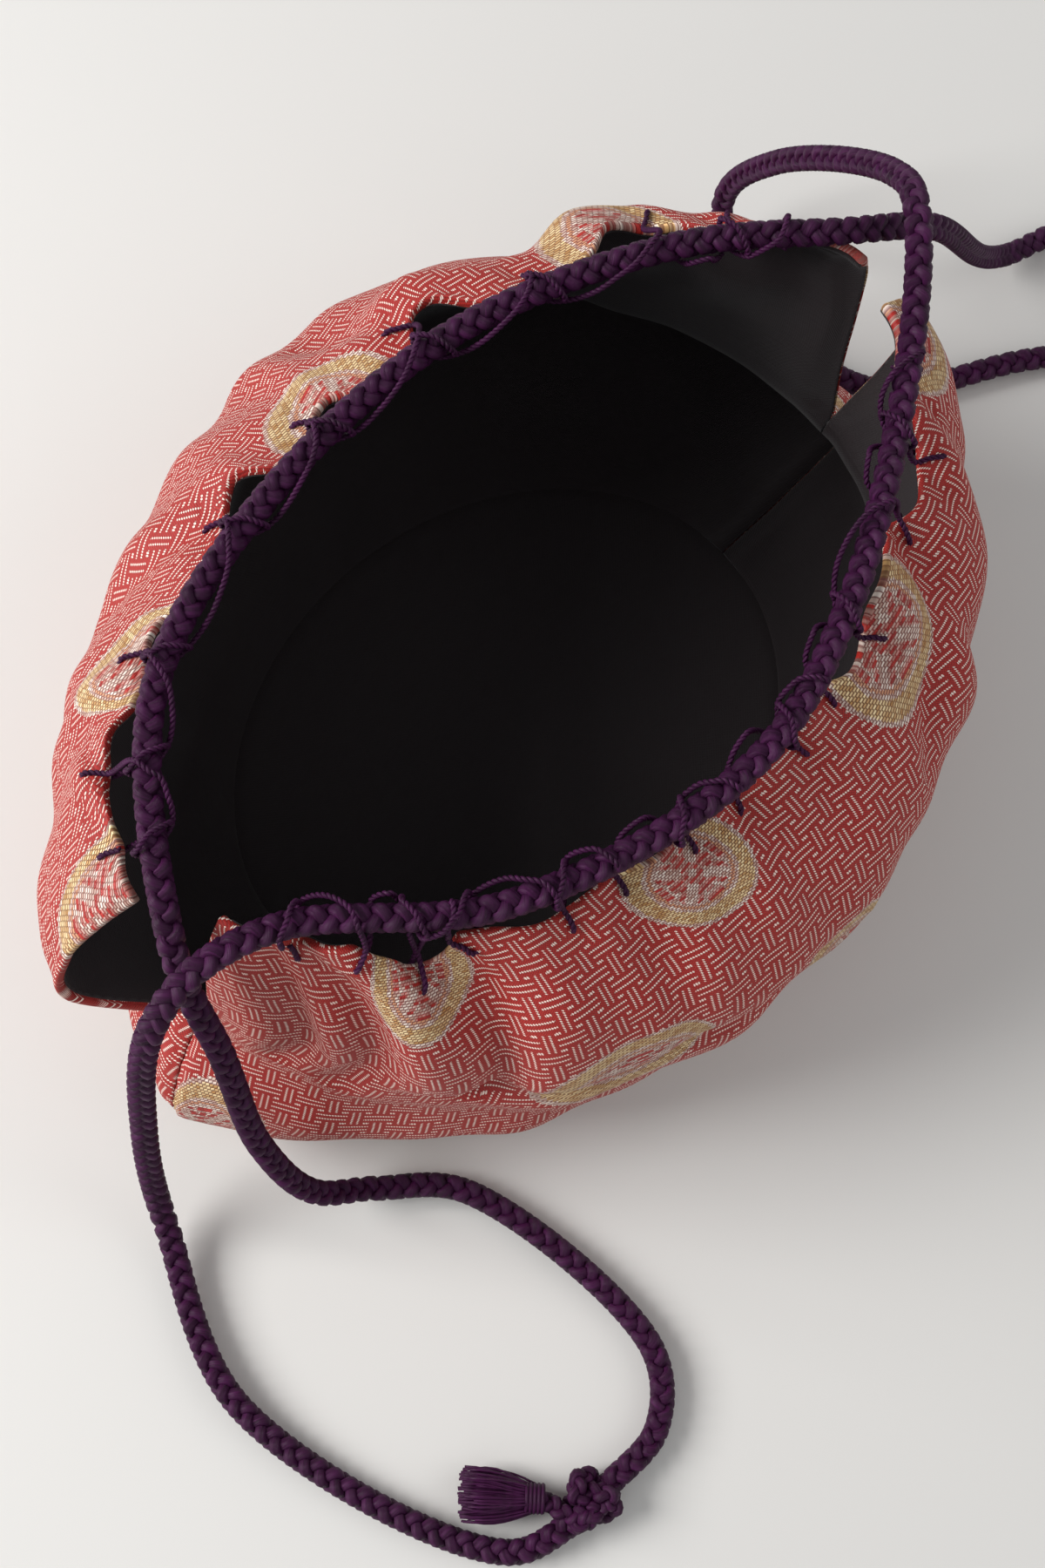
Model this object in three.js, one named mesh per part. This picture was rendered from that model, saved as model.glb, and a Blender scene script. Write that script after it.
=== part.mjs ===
// A lined silk brocade drawstring pouch, standing open in the shape it takes round what it holds.
// Millimetres, +Z up. The origin is under the middle of the pouch, on the surface it stands on.
// +X runs from one side slit to the other, and the near panel is the one on the -Y side.

import * as THREE from 'three';
import { mergeVertices } from 'three/addons/utils/BufferGeometryUtils.js';

// Cloth
const BROCADE_THICKNESS = 0.9;
const LINING_THICKNESS = 0.8;
const LAYER_GAP = 0.5;

// Foot of the pouch: a flat oval base let into the two panels
const BASE_HALF_LENGTH = 60;
const BASE_HALF_DEPTH = 48;
const BASE_SEAM_GAP = 0.3;

// Body: two panels that meet at the side seams below the slits
const HEEL_HEIGHT = 3;
const BELLY_HALF_LENGTH = 98.5;
const BELLY_HALF_DEPTH = 75.5;
const BELLY_HEIGHT = 13;
const CREASE_HEIGHT = 26;
const SIDE_SEAM_GAP = 0.3;
const SLIT_BOTTOM_HEIGHT = 40;
const BULGE_HEIGHT = 56;
const SHOULDER_HEIGHT = 70;
const NECK_HEIGHT = 80;
const MOUTH_HEIGHT = 85.5;

// Mouth: the left and right corners of each panel and how far its middle leans out
const MOUTH_LEFT = 72.5;
const MOUTH_RIGHT = 84;
const NEAR_MOUTH_DEPTH = 47.5;
const FAR_MOUTH_DEPTH = 48.5;
const LEFT_SLIT_WIDTH = 11.5;
const RIGHT_SLIT_WIDTH = 8.5;
const FAR_LEFT_FLARE = 8;
const FAR_RIGHT_FLARE = 3;

// Gathered thread loops that hold the drawcord along each mouth edge
const THREAD_DIAMETER = 1.3;
const THREAD_CLEARANCE = 0.75;
// Each stitch's place along X on its mouth edge
const NEAR_STITCHES = [-66, -57.5, -50, -41, -30, -19.5, -7, 4, 17, 27, 39.5, 59, 70, 78.5];
const FAR_STITCHES = [-77, -70, -53, -28, -5, 19, 40, 64.5, 73, 80];
const STITCH_REACH = 5;
const STITCH_HALF_WIDTH = 1;
// Where a stitch's thread goes round the cord: the angle round it, and the share of the way along
// it to the next stitch
const TURNS_ROUND_CORD = [
  [3, 0.1],
  [2.2, 0.2],
  [1.4, 0.3],
  [0.6, 0.42],
  [0, 0.55],
  [-0.6, 0.68],
  [-1.2, 0.82],
];
const LAST_STITCH_SPAN = 10;

// Drawcord, its knot and its tassel
const CORD_DIAMETER = 5.5;
const KNOT_LENGTH = 15;
const KNOT_WIDTH = 12;
const KNOT_HEIGHT = 9;
const KNOT_PLACE = [-88, -119];
const KNOT_TURN = -0.9;
const TASSEL_LENGTH = 15;
const TASSEL_DIAMETER = 9;
const TASSEL_NECK_DIAMETER = 4.6;
const TASSEL_PLACE = [-94.2, -112.9];
const TASSEL_TURN = 0.78;
const REST_GAP = 0.1;

// Mesh density
const PANEL_COLUMNS = 48;
const PANEL_ROWS = 11;
const BASE_SIDES = 40;
const THREAD_SIDES = 5;
const THREAD_STEPS_PER_STITCH = 17;
const CORD_SIDES = 8;
const CORD_STEPS = 80;
const PIECES_PER_CORD_STEP = 24;

const brocadeCloth = () => new THREE.MeshStandardMaterial({ color: 0xb23a2e, roughness: 0.55, metalness: 0.0 });
const liningCloth = () => new THREE.MeshStandardMaterial({ color: 0x1a0a0c, roughness: 0.8, metalness: 0.0 });
const purpleSilk = () => new THREE.MeshStandardMaterial({ color: 0x3f1a52, roughness: 0.45, metalness: 0.0 });

const innerBrocade = BROCADE_THICKNESS;
const outerLining = BROCADE_THICKNESS + LAYER_GAP;
const innerLining = outerLining + LINING_THICKNESS;

// One level of a panel: its height, the plan positions of its two ends, how far its middle stands
// out from the seam line, how round its plan is, from 0 for a lens to 1 for an ellipse, and how far
// its fullness leans to the right
const level = (height, left, right, depth, round, lean = 0) => ({ height, left, right, depth, round, lean });

// The two side seams, from the base up to the bottom of the slits, shared by both panels
const seamLevels = (depths) => [
  level(0, [-BASE_HALF_LENGTH, 0], [BASE_HALF_LENGTH, 0], depths[0], 1),
  level(HEEL_HEIGHT, [-BASE_HALF_LENGTH - 17, -2], [BASE_HALF_LENGTH + 17, 0], depths[1], 0.8),
  level(BELLY_HEIGHT, [-BELLY_HALF_LENGTH + 0.5, -13], [BELLY_HALF_LENGTH - 1, 0], depths[2], 0.2),
  level(CREASE_HEIGHT, [-BELLY_HALF_LENGTH + 4, -11], [BELLY_HALF_LENGTH - 4, 0], depths[3], 0.1),
  level(SLIT_BOTTOM_HEIGHT, [-84, -7], [81, -1], depths[4], 0.1),
];

const nearLevels = [
  ...seamLevels([BASE_HALF_DEPTH, BASE_HALF_DEPTH + 6.5, BELLY_HALF_DEPTH - 15, BELLY_HALF_DEPTH - 4.5, 73]),
  level(BULGE_HEIGHT, [-81, -9], [89, -2.5], BELLY_HALF_DEPTH - 0.2, 0.3),
  level(SHOULDER_HEIGHT, [-78, -7.5], [92, -3], 68, 0.4),
  level(NECK_HEIGHT, [-75, -6.3], [90, -1.5], 57, 0.45),
  level(MOUTH_HEIGHT, [-MOUTH_LEFT, -LEFT_SLIT_WIDTH / 2], [MOUTH_RIGHT, 0], NEAR_MOUTH_DEPTH, 0.45),
];

const farLevels = [
  ...seamLevels([BASE_HALF_DEPTH, BASE_HALF_DEPTH + 13, BELLY_HALF_DEPTH - 1, BELLY_HALF_DEPTH - 0.2, 73]),
  level(BULGE_HEIGHT, [-BELLY_HALF_LENGTH, 6.5], [83, 2.5], 72, 0.1, 0.27),
  level(SHOULDER_HEIGHT, [-94.5, 9], [86, 5.5], 64, 0.2, 0.15),
  level(NECK_HEIGHT, [-87, 7.5], [87.5, 7.5], 57, 0.8, 0.17),
  level(
    MOUTH_HEIGHT,
    [-MOUTH_LEFT - FAR_LEFT_FLARE, LEFT_SLIT_WIDTH / 2],
    [MOUTH_RIGHT + FAR_RIGHT_FLARE, RIGHT_SLIT_WIDTH],
    FAR_MOUTH_DEPTH,
    0.75,
  ),
];

// Scallops of the gathered mouth: place along X, how far the cloth swings out, how far its edge
// dips, and half the width of the fold at the edge
const scallop = (x, swing, dip, width) => ({ x, swing, dip, width });
const nearScallops = [
  scallop(-51.5, 3, 5.5, 6),
  scallop(-24, 1.2, 1.8, 6),
  scallop(11, 1.2, 1.8, 6),
  scallop(33, 1.8, 3, 6),
  scallop(61.5, 3.4, 6, 6.5),
];
const farScallops = [
  scallop(-68.5, 3.2, 5.5, 6),
  scallop(-50, 1.6, 3, 5.5),
  scallop(-24, 3, 5, 6.5),
  scallop(-2, 1.4, 2.5, 5.5),
  scallop(23.5, 3.2, 5.5, 7),
  scallop(62, 2.8, 5.5, 8),
];
const SCALLOP_FADE_START = 0.5;
const SCALLOP_WIDENING = 1.6;
const DIP_FADE_START = 0.6;

// A smooth curve through equally spaced values, read at a share of the way from first to last
function curveValue(values, share) {
  const spans = values.length - 1;
  const place = THREE.MathUtils.clamp(share, 0, 1) * spans;
  const first = Math.min(Math.floor(place), spans - 1);
  const at = (index) => values[THREE.MathUtils.clamp(index, 0, spans)];
  const [a, b, c, d] = [at(first - 1), at(first), at(first + 1), at(first + 2)];
  const f = place - first;
  return b + 0.5 * f * (c - a + f * (2 * a - 5 * b + 4 * c - d + f * (3 * (b - c) + d - a)));
}

// A panel's section at one share of its height. The ends follow one curve up to the bottom of the
// slits, the same in both panels, and a curve of their own above it.
function sectionAt(levels, share) {
  const slitIndex = levels.findIndex((l) => l.height === SLIT_BOTTOM_HEIGHT);
  const slitShare = slitIndex / (levels.length - 1);
  const seam = levels.slice(0, slitIndex + 1);
  const flap = levels.slice(slitIndex);
  const read = (pick) => curveValue(levels.map(pick), share);
  const readEnd = (pick) =>
    share <= slitShare
      ? curveValue(seam.map(pick), share / slitShare)
      : curveValue(flap.map(pick), (share - slitShare) / (1 - slitShare));
  return {
    height: read((l) => l.height),
    left: [readEnd((l) => l.left[0]), readEnd((l) => l.left[1])],
    right: [readEnd((l) => l.right[0]), readEnd((l) => l.right[1])],
    depth: read((l) => l.depth),
    round: read((l) => l.round),
    lean: read((l) => l.lean),
  };
}

// How far the section has swung out at a share of its half length, from 1 at the middle to 0 at
// the ends: a mix of an ellipse and of a lens made of one round arc
function swingOut(share, halfLength, depth, round) {
  const ellipse = Math.sqrt(Math.max(1 - share * share, 0));
  const radius = (halfLength * halfLength + depth * depth) / (2 * depth);
  const x = share * halfLength;
  const lens = (Math.sqrt(Math.max(radius * radius - x * x, 0)) - (radius - depth)) / depth;
  return round * ellipse + (1 - round) * Math.max(lens, 0);
}

// A point on the outer face of a panel: across runs from -1 to 1, up from 0 at the base to 1
function panelPoint(panel, across, up) {
  const section = sectionAt(panel.levels, up);
  const share = 0.75 * Math.sin((across * Math.PI) / 2) + 0.25 * across;
  const halfLength = (section.right[0] - section.left[0]) / 2;
  const x = section.left[0] + halfLength * (1 + share);
  const seamShare = (1 + share) / 2;
  const seamY = THREE.MathUtils.lerp(section.left[1], section.right[1], seamShare);
  const middleY = (section.left[1] + section.right[1]) / 2;
  const depth = section.depth - panel.side * middleY;
  const fade = Math.pow(Math.max(up - SCALLOP_FADE_START, 0) / (1 - SCALLOP_FADE_START), 1.6);
  const dipFade = Math.pow(Math.max(up - DIP_FADE_START, 0) / (1 - DIP_FADE_START), 1.5);
  let swing = 0;
  let dip = 0;
  for (const fold of panel.scallops) {
    const width = fold.width * (1 + SCALLOP_WIDENING * (1 - up));
    const strength = Math.exp(-(((x - fold.x) / width) ** 2));
    swing += fold.swing * fade * strength;
    dip += fold.dip * dipFade * strength;
  }
  const lean = 1 + section.lean * share;
  const out = (depth + swing) * lean * swingOut(share, halfLength, depth, section.round);
  const y = seamY + panel.side * (out + SIDE_SEAM_GAP / 2);
  return new THREE.Vector3(x, y, section.height - dip);
}

// The way into the cloth from a point on its outer face. At the base it points straight up, and at
// the two ends it stays in the plane of the seam, so that the panels meet there edge to edge.
function inwardAt(panel, across, up) {
  const step = 0.004;
  const alongX = panelPoint(panel, Math.min(across + step, 1), up).sub(
    panelPoint(panel, Math.max(across - step, -1), up),
  );
  const alongZ = panelPoint(panel, across, Math.min(up + step, 1)).sub(
    panelPoint(panel, across, Math.max(up - step, 0)),
  );
  const normal = alongX.cross(alongZ).normalize().multiplyScalar(panel.side);
  const way = normal.clone();
  const seamPull = THREE.MathUtils.smoothstep(Math.abs(across), 0.8, 1);
  way.y *= 1 - seamPull;
  const basePull = 1 - THREE.MathUtils.smoothstep(up, 0, 0.1);
  way.lerp(new THREE.Vector3(0, 0, 1), basePull);
  return way.normalize();
}

// Turns a list of points and triangles into a closed geometry whose faces point out
function closedGeometry(points, triangles) {
  let volume = 0;
  for (const [a, b, c] of triangles) {
    volume += points[a].dot(points[b].clone().cross(points[c]));
  }
  const index = triangles.flatMap(([a, b, c]) => (volume < 0 ? [a, c, b] : [a, b, c]));
  const geometry = new THREE.BufferGeometry();
  geometry.setAttribute('position', new THREE.Float32BufferAttribute(points.flatMap((p) => p.toArray()), 3));
  geometry.setIndex(index);
  const merged = mergeVertices(geometry, 1e-5);
  merged.computeVertexNormals();
  return merged;
}

// A sheet of cloth with a front and a back, each a grid of points, closed along its four edges
function clothShell(front, back, columns, rows) {
  const points = [];
  for (const face of [front, back]) {
    for (let row = 0; row <= rows; row += 1) {
      for (let column = 0; column <= columns; column += 1) {
        points.push(face(column / columns, row / rows));
      }
    }
  }
  const layer = (columns + 1) * (rows + 1);
  const at = (side, column, row) => side * layer + row * (columns + 1) + column;
  const triangles = [];
  const quad = (a, b, c, d) => triangles.push([a, b, c], [a, c, d]);
  for (let row = 0; row < rows; row += 1) {
    for (let column = 0; column < columns; column += 1) {
      quad(at(0, column, row), at(0, column + 1, row), at(0, column + 1, row + 1), at(0, column, row + 1));
      quad(at(1, column, row), at(1, column, row + 1), at(1, column + 1, row + 1), at(1, column + 1, row));
    }
    quad(at(0, 0, row), at(0, 0, row + 1), at(1, 0, row + 1), at(1, 0, row));
    quad(at(0, columns, row), at(1, columns, row), at(1, columns, row + 1), at(0, columns, row + 1));
  }
  for (let column = 0; column < columns; column += 1) {
    quad(at(0, column, 0), at(1, column, 0), at(1, column + 1, 0), at(0, column + 1, 0));
    quad(at(0, column, rows), at(0, column + 1, rows), at(1, column + 1, rows), at(1, column, rows));
  }
  return closedGeometry(points, triangles);
}

// One layer of a panel, from one depth under the outer face to another
function panelLayer(panel, outerDepth, innerDepth) {
  const face = (depth) => (columnShare, up) => {
    const across = columnShare * 2 - 1;
    const point = panelPoint(panel, across, up);
    return point.addScaledVector(inwardAt(panel, across, up), depth);
  };
  return clothShell(face(outerDepth), face(innerDepth), PANEL_COLUMNS, PANEL_ROWS);
}

// One layer of the oval base, from one height above the floor to another
function baseLayer(bottom, top) {
  const outline = new THREE.Shape();
  for (let side = 0; side < BASE_SIDES; side += 1) {
    const angle = (side / BASE_SIDES) * Math.PI * 2;
    const x = (BASE_HALF_LENGTH - BASE_SEAM_GAP) * Math.cos(angle);
    const y = (BASE_HALF_DEPTH - BASE_SEAM_GAP) * Math.sin(angle);
    if (side === 0) {
      outline.moveTo(x, y);
    } else {
      outline.lineTo(x, y);
    }
  }
  outline.closePath();
  const geometry = new THREE.ExtrudeGeometry(outline, { depth: top - bottom, bevelEnabled: false });
  geometry.translate(0, 0, bottom);
  return geometry;
}

// A smooth curve through a list of points
function smoothCurve(points) {
  const curve = new THREE.CatmullRomCurve3(points, false, 'centripetal');
  curve.arcLengthDivisions = 2000;
  return curve;
}

// A round tube along a curve, with flat ends
function tube(curve, diameter, sides, steps) {
  const ring = new THREE.Shape();
  for (let side = 0; side < sides; side += 1) {
    const angle = ((side + 0.5) / sides) * Math.PI * 2;
    const x = (diameter / 2) * Math.cos(angle);
    const y = (diameter / 2) * Math.sin(angle);
    if (side === 0) {
      ring.moveTo(x, y);
    } else {
      ring.lineTo(x, y);
    }
  }
  ring.closePath();
  return new THREE.ExtrudeGeometry(ring, { steps, extrudePath: curve, bevelEnabled: false });
}

const point = (x, y, z) => new THREE.Vector3(x, y, z);
// High enough that the cord stays clear of the table where its smooth curve dips between points
const CORD_ON_TABLE = CORD_DIAMETER / 2 + 0.35;

// The drawcord is one closed ring, knotted where its ends meet. From the knot it lies on the table,
// climbs the near panel, passes under itself, runs along the far mouth edge, makes its second loop
// past the right slit, and comes back along the near mouth edge and over itself to the knot.
const drawcordRoute = [
  point(-79.8, -119.6, 4),
  point(-70, -118.3, CORD_ON_TABLE),
  point(-60.5, -107, CORD_ON_TABLE),
  point(-67, -61.5, 3.3),
  point(-79.5, -49.5, 4.8),
  point(-88.5, -43, 15),
  point(-90.5, -32, 36),
  point(-85.5, -19, 62.5),
  point(-80, -3.5, 87),
  point(-58, 30, 90.5),
  point(-24, 43.6, 90.5),
  point(20, 46.2, 90.5),
  point(62, 32.5, 90.5),
  point(86, 14, 89.5),
  point(103, 8, 78.5),
  point(151, 8, 6.6),
  point(168.5, 3.3, 3.4),
  point(178.3, -7.5, CORD_ON_TABLE),
  point(174, -20, CORD_ON_TABLE),
  point(161, -23.5, CORD_ON_TABLE),
  point(137, -10.5, CORD_ON_TABLE),
  point(109, 6, CORD_ON_TABLE),
  point(102.8, 33, 3.2),
  point(104, 46, 6),
  point(109, 54, 17),
  point(109, 44.5, 45),
  point(103, 17.5, 84.5),
  point(94.5, 6.5, 96),
  point(77.5, -10.5, 91),
  point(37.5, -36, 90.5),
  point(7.5, -44.5, 90.5),
  point(-37, -35, 90.5),
  point(-65.5, -14, 90.5),
  point(-79.5, -10.5, 91.5),
  point(-90, -11, 84),
  point(-103.5, -16.5, 42.5),
  point(-113.5, -28.5, 7.5),
  point(-125, -62, 3.7),
  point(-105.5, -115.5, 3.3),
  point(-96, -122, 4),
];

const drawcordCurve = smoothCurve(drawcordRoute);

// A point on the flat facets of a panel's outer face, between the corners of its grid
function facetPoint(panel, column, row) {
  const corner = (c, r) => panelPoint(panel, (c / PANEL_COLUMNS) * 2 - 1, r / PANEL_ROWS);
  const c = Math.min(Math.floor(column), PANEL_COLUMNS - 1);
  const r = Math.min(Math.floor(row), PANEL_ROWS - 1);
  const low = corner(c, r).lerp(corner(c + 1, r), column - c);
  const high = corner(c, r + 1).lerp(corner(c + 1, r + 1), column - c);
  return low.lerp(high, row - r);
}

// The column of a panel's grid, whole or not, at which its mouth edge has a given place along X
function columnAt(panel, x) {
  let low = -1;
  let high = 1;
  for (let halving = 0; halving < 30; halving += 1) {
    const middle = (low + high) / 2;
    if (panelPoint(panel, middle, 1).x < x) {
      low = middle;
    } else {
      high = middle;
    }
  }
  return ((low + 1) / 2) * PANEL_COLUMNS;
}

// A thread that winds once round the drawcord for each stitch, and comes down over the edge of the
// cloth to lie on its outer face there
function threadLoops(panel, stitches) {
  const cordPoints = [];
  const corners = drawcordCurve.getSpacedPoints(CORD_STEPS);
  for (let step = 0; step < CORD_STEPS; step += 1) {
    for (let piece = 0; piece < PIECES_PER_CORD_STEP; piece += 1) {
      cordPoints.push(corners[step].clone().lerp(corners[step + 1], piece / PIECES_PER_CORD_STEP));
    }
  }
  const pieceLength = drawcordCurve.getLength() / cordPoints.length;
  const nearestIndex = (place) => {
    let best = 0;
    for (let i = 1; i < cordPoints.length; i += 1) {
      if (cordPoints[i].distanceToSquared(place) < cordPoints[best].distanceToSquared(place)) {
        best = i;
      }
    }
    return best;
  };
  const up = new THREE.Vector3(0, 0, 1);
  const reach = CORD_DIAMETER / 2 + THREAD_DIAMETER / 2 + THREAD_CLEARANCE;
  const lift = THREAD_DIAMETER / 2 + THREAD_CLEARANCE;
  const columns = stitches.map((x) => columnAt(panel, x));
  const edges = columns.map((column) => facetPoint(panel, column, PANEL_ROWS));
  const starts = edges.map(nearestIndex);
  const route = [];
  stitches.forEach((x, stitch) => {
    const edge = edges[stitch];
    const start = starts[stitch];
    const below = facetPoint(panel, columns[stitch], PANEL_ROWS - 1);
    const beside = facetPoint(panel, Math.min(columns[stitch] + 0.3, PANEL_COLUMNS), PANEL_ROWS);
    const slide = beside.sub(edge).normalize();
    const down = below.sub(edge).normalize();
    const away = slide.clone().cross(down).multiplyScalar(panel.side).normalize();
    const heading = cordPoints[start + 1].clone().sub(cordPoints[start]).dot(slide) > 0 ? 1 : -1;
    const isLast = stitch === stitches.length - 1;
    const span = isLast ? LAST_STITCH_SPAN : Math.abs(starts[stitch + 1] - start) * pieceLength;
    const onFace = (depth, forward) =>
      edge
        .clone()
        .addScaledVector(down, depth)
        .addScaledVector(away, lift)
        .addScaledVector(slide, forward);
    const round = ([angle, share]) => {
      const index = start + Math.round((heading * share * span) / pieceLength);
      const along = cordPoints[index + 1].clone().sub(cordPoints[index - 1]).multiplyScalar(heading);
      const inward = along.cross(up).multiplyScalar(panel.side).normalize();
      return cordPoints[index]
        .clone()
        .addScaledVector(inward, reach * Math.cos(angle))
        .addScaledVector(up, reach * Math.sin(angle));
    };
    route.push(
      onFace(-lift, -STITCH_HALF_WIDTH - lift / 2),
      onFace(STITCH_REACH, -STITCH_HALF_WIDTH),
      onFace(STITCH_REACH, STITCH_HALF_WIDTH),
      onFace(-lift, STITCH_HALF_WIDTH),
      ...TURNS_ROUND_CORD.map(round),
    );
  });
  const steps = stitches.length * THREAD_STEPS_PER_STITCH;
  return tube(smoothCurve(route), THREAD_DIAMETER, THREAD_SIDES, steps);
}

// A knot: a flattened ball with the ridges of the turns that cross in it
function knotGeometry() {
  const ball = new THREE.SphereGeometry(1, 14, 10);
  const positions = ball.getAttribute('position');
  const place = new THREE.Vector3();
  for (let i = 0; i < positions.count; i += 1) {
    place.fromBufferAttribute(positions, i);
    const turn = Math.atan2(place.y, place.x);
    const ridge = 1 - 0.12 * Math.cos(3 * turn) * (1 - place.z * place.z);
    positions.setXYZ(
      i,
      (place.x * ridge * KNOT_LENGTH) / 2,
      (place.y * ridge * KNOT_WIDTH) / 2,
      (place.z * KNOT_HEIGHT) / 2,
    );
  }
  ball.deleteAttribute('normal');
  ball.deleteAttribute('uv');
  return mergeVertices(ball, 1e-4);
}

// A tassel lying on its side: a neck bound to the cord's end and a skirt that widens
function tasselGeometry() {
  const neck = TASSEL_NECK_DIAMETER / 2;
  const skirt = TASSEL_DIAMETER / 2;
  const profile = [
    new THREE.Vector2(0, 0),
    new THREE.Vector2(neck, 0),
    new THREE.Vector2(neck, TASSEL_LENGTH * 0.25),
    new THREE.Vector2(skirt * 0.85, TASSEL_LENGTH * 0.5),
    new THREE.Vector2(skirt, TASSEL_LENGTH),
    new THREE.Vector2(0, TASSEL_LENGTH),
  ];
  return new THREE.LatheGeometry(profile, 12);
}

const nearPanel = { levels: nearLevels, scallops: nearScallops, side: -1 };
const farPanel = { levels: farLevels, scallops: farScallops, side: 1 };

const pouch = new THREE.Group();
function add(name, geometry, material) {
  const mesh = new THREE.Mesh(geometry, material);
  mesh.name = name;
  pouch.add(mesh);
  return mesh;
}

add('brocade_near_panel', panelLayer(nearPanel, 0, innerBrocade), brocadeCloth());
add('brocade_far_panel', panelLayer(farPanel, 0, innerBrocade), brocadeCloth());
add('brocade_base', baseLayer(0, innerBrocade), brocadeCloth());
add('lining_near_panel', panelLayer(nearPanel, outerLining, innerLining), liningCloth());
add('lining_far_panel', panelLayer(farPanel, outerLining, innerLining), liningCloth());
add('lining_base', baseLayer(outerLining, innerLining), liningCloth());
add('tsugari_near', threadLoops(nearPanel, NEAR_STITCHES), purpleSilk());
add('tsugari_far', threadLoops(farPanel, FAR_STITCHES), purpleSilk());
add('drawcord', tube(drawcordCurve, CORD_DIAMETER, CORD_SIDES, CORD_STEPS), purpleSilk());

const knot = add('cord_knot', knotGeometry(), purpleSilk());
knot.position.set(...KNOT_PLACE, KNOT_HEIGHT / 2 + REST_GAP);
knot.rotation.z = KNOT_TURN;
const tassel = add('cord_tassel', tasselGeometry(), purpleSilk());
tassel.position.set(...TASSEL_PLACE, TASSEL_DIAMETER / 2 + REST_GAP);
tassel.rotation.z = TASSEL_TURN;

export default pouch;
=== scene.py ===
"""A lined silk brocade drawstring pouch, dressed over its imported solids.

Shapes are worked out in millimetres, in the frame of the solids, and meshes are written in metres.
PATTERN_UNIT is the cloth, in millimetres, in one unit of a pattern layer. HALF_CLOTH is about
half the cloth's width from seam to seam, and SLIT_HEIGHT is where the slits of both ends begin.
"""
import logging
import math
from dataclasses import dataclass, field
from enum import Enum

import bpy
import numpy as np
from mathutils import Matrix, Vector


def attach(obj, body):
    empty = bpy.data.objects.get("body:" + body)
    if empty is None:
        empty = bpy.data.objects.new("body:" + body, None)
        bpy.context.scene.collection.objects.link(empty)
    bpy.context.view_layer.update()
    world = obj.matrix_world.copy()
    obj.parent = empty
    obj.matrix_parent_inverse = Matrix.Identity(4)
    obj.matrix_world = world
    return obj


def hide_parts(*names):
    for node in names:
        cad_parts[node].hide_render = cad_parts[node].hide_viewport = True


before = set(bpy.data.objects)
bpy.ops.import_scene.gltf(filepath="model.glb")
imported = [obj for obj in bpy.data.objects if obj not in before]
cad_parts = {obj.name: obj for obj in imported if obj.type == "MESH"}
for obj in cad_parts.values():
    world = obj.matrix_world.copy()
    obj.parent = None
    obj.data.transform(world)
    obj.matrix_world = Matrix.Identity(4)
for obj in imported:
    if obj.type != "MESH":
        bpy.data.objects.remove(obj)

MM = 0.001
PATTERN_UNIT = 100
HALF_CLOTH = 118
SLIT_HEIGHT = 40
LOG = logging.getLogger("pouch")
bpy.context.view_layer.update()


def smoothstep(value: np.ndarray, low: float, high: float) -> np.ndarray:
    """Rise smoothly from 0 at low to 1 at high."""
    share = np.clip((value - low) / (high - low), 0, 1)
    return share * share * (3 - 2 * share)


def bump(value: np.ndarray, middle: float, width: float) -> np.ndarray:
    """A soft hump of height 1 at middle, down to a third at width from it."""
    return np.exp(-(((value - middle) / width) ** 2))


def unit(vectors: np.ndarray) -> np.ndarray:
    """Scale vectors along the last axis to length 1."""
    return vectors / np.maximum(np.linalg.norm(vectors, axis=-1, keepdims=True), 1e-9)


def curve_value(values: list[float], share: np.ndarray) -> np.ndarray:
    """Read a smooth curve through equally spaced values.

    Args:
        values: The values along the curve.
        share: Where to read it, from 0 at the first value to 1 at the last.

    Returns:
        The curve's values there.
    """
    known = np.asarray(values, float)
    spans = len(known) - 1
    place = np.clip(share, 0, 1) * spans
    first = np.minimum(np.floor(place).astype(int), spans - 1)
    a, b, c, d = (known[np.clip(first + k, 0, spans)] for k in (-1, 0, 1, 2))
    f = place - first
    return b + 0.5 * f * (c - a + f * (2 * a - 5 * b + 4 * c - d + f * (3 * (b - c) + d - a)))


def smooth_path(points: np.ndarray, per_span: int = 24) -> np.ndarray:
    """Draw a centripetal spline through points.

    Args:
        points: The points it passes through, one a row.
        per_span: How many samples each span gets.

    Returns:
        The samples, one a row.
    """
    known = np.asarray(points, float)
    ends = [2 * known[0] - known[1], *known, 2 * known[-1] - known[-2]]
    t = np.linspace(0, 1, per_span, endpoint=False)[:, None]
    rows = []
    for a, b, c, d in zip(ends, ends[1:], ends[2:], ends[3:]):
        before, here, after = (np.linalg.norm(q - p) ** 0.5 for p, q in ((a, b), (b, c), (c, d)))
        start = ((b - a) / before - (c - a) / (before + here) + (c - b) / here) * here
        end = ((c - b) / here - (d - b) / (here + after) + (d - c) / after) * here
        square = 3 * (c - b) - 2 * start - end
        cube = 2 * (b - c) + start + end
        rows.append(b + start * t + square * t**2 + cube * t**3)
    return np.vstack([*rows, known[-1:]])


def evenly(path: np.ndarray, step: float) -> np.ndarray:
    """Sample a path again at equal steps.

    Args:
        path: Points along the path, one a row.
        step: The length of a step, which is met as nearly as whole steps allow.

    Returns:
        The new points, one a row.
    """
    gone = np.concatenate([[0], np.cumsum(np.linalg.norm(np.diff(path, axis=0), axis=1))])
    places = np.linspace(0, gone[-1], max(int(round(gone[-1] / step)), 4) + 1)
    return np.stack([np.interp(places, gone, path[:, axis]) for axis in range(3)], axis=1)


def path_length(path: np.ndarray) -> float:
    """The length of a path, in its own unit."""
    return float(np.linalg.norm(np.diff(path, axis=0), axis=1).sum())


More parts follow.
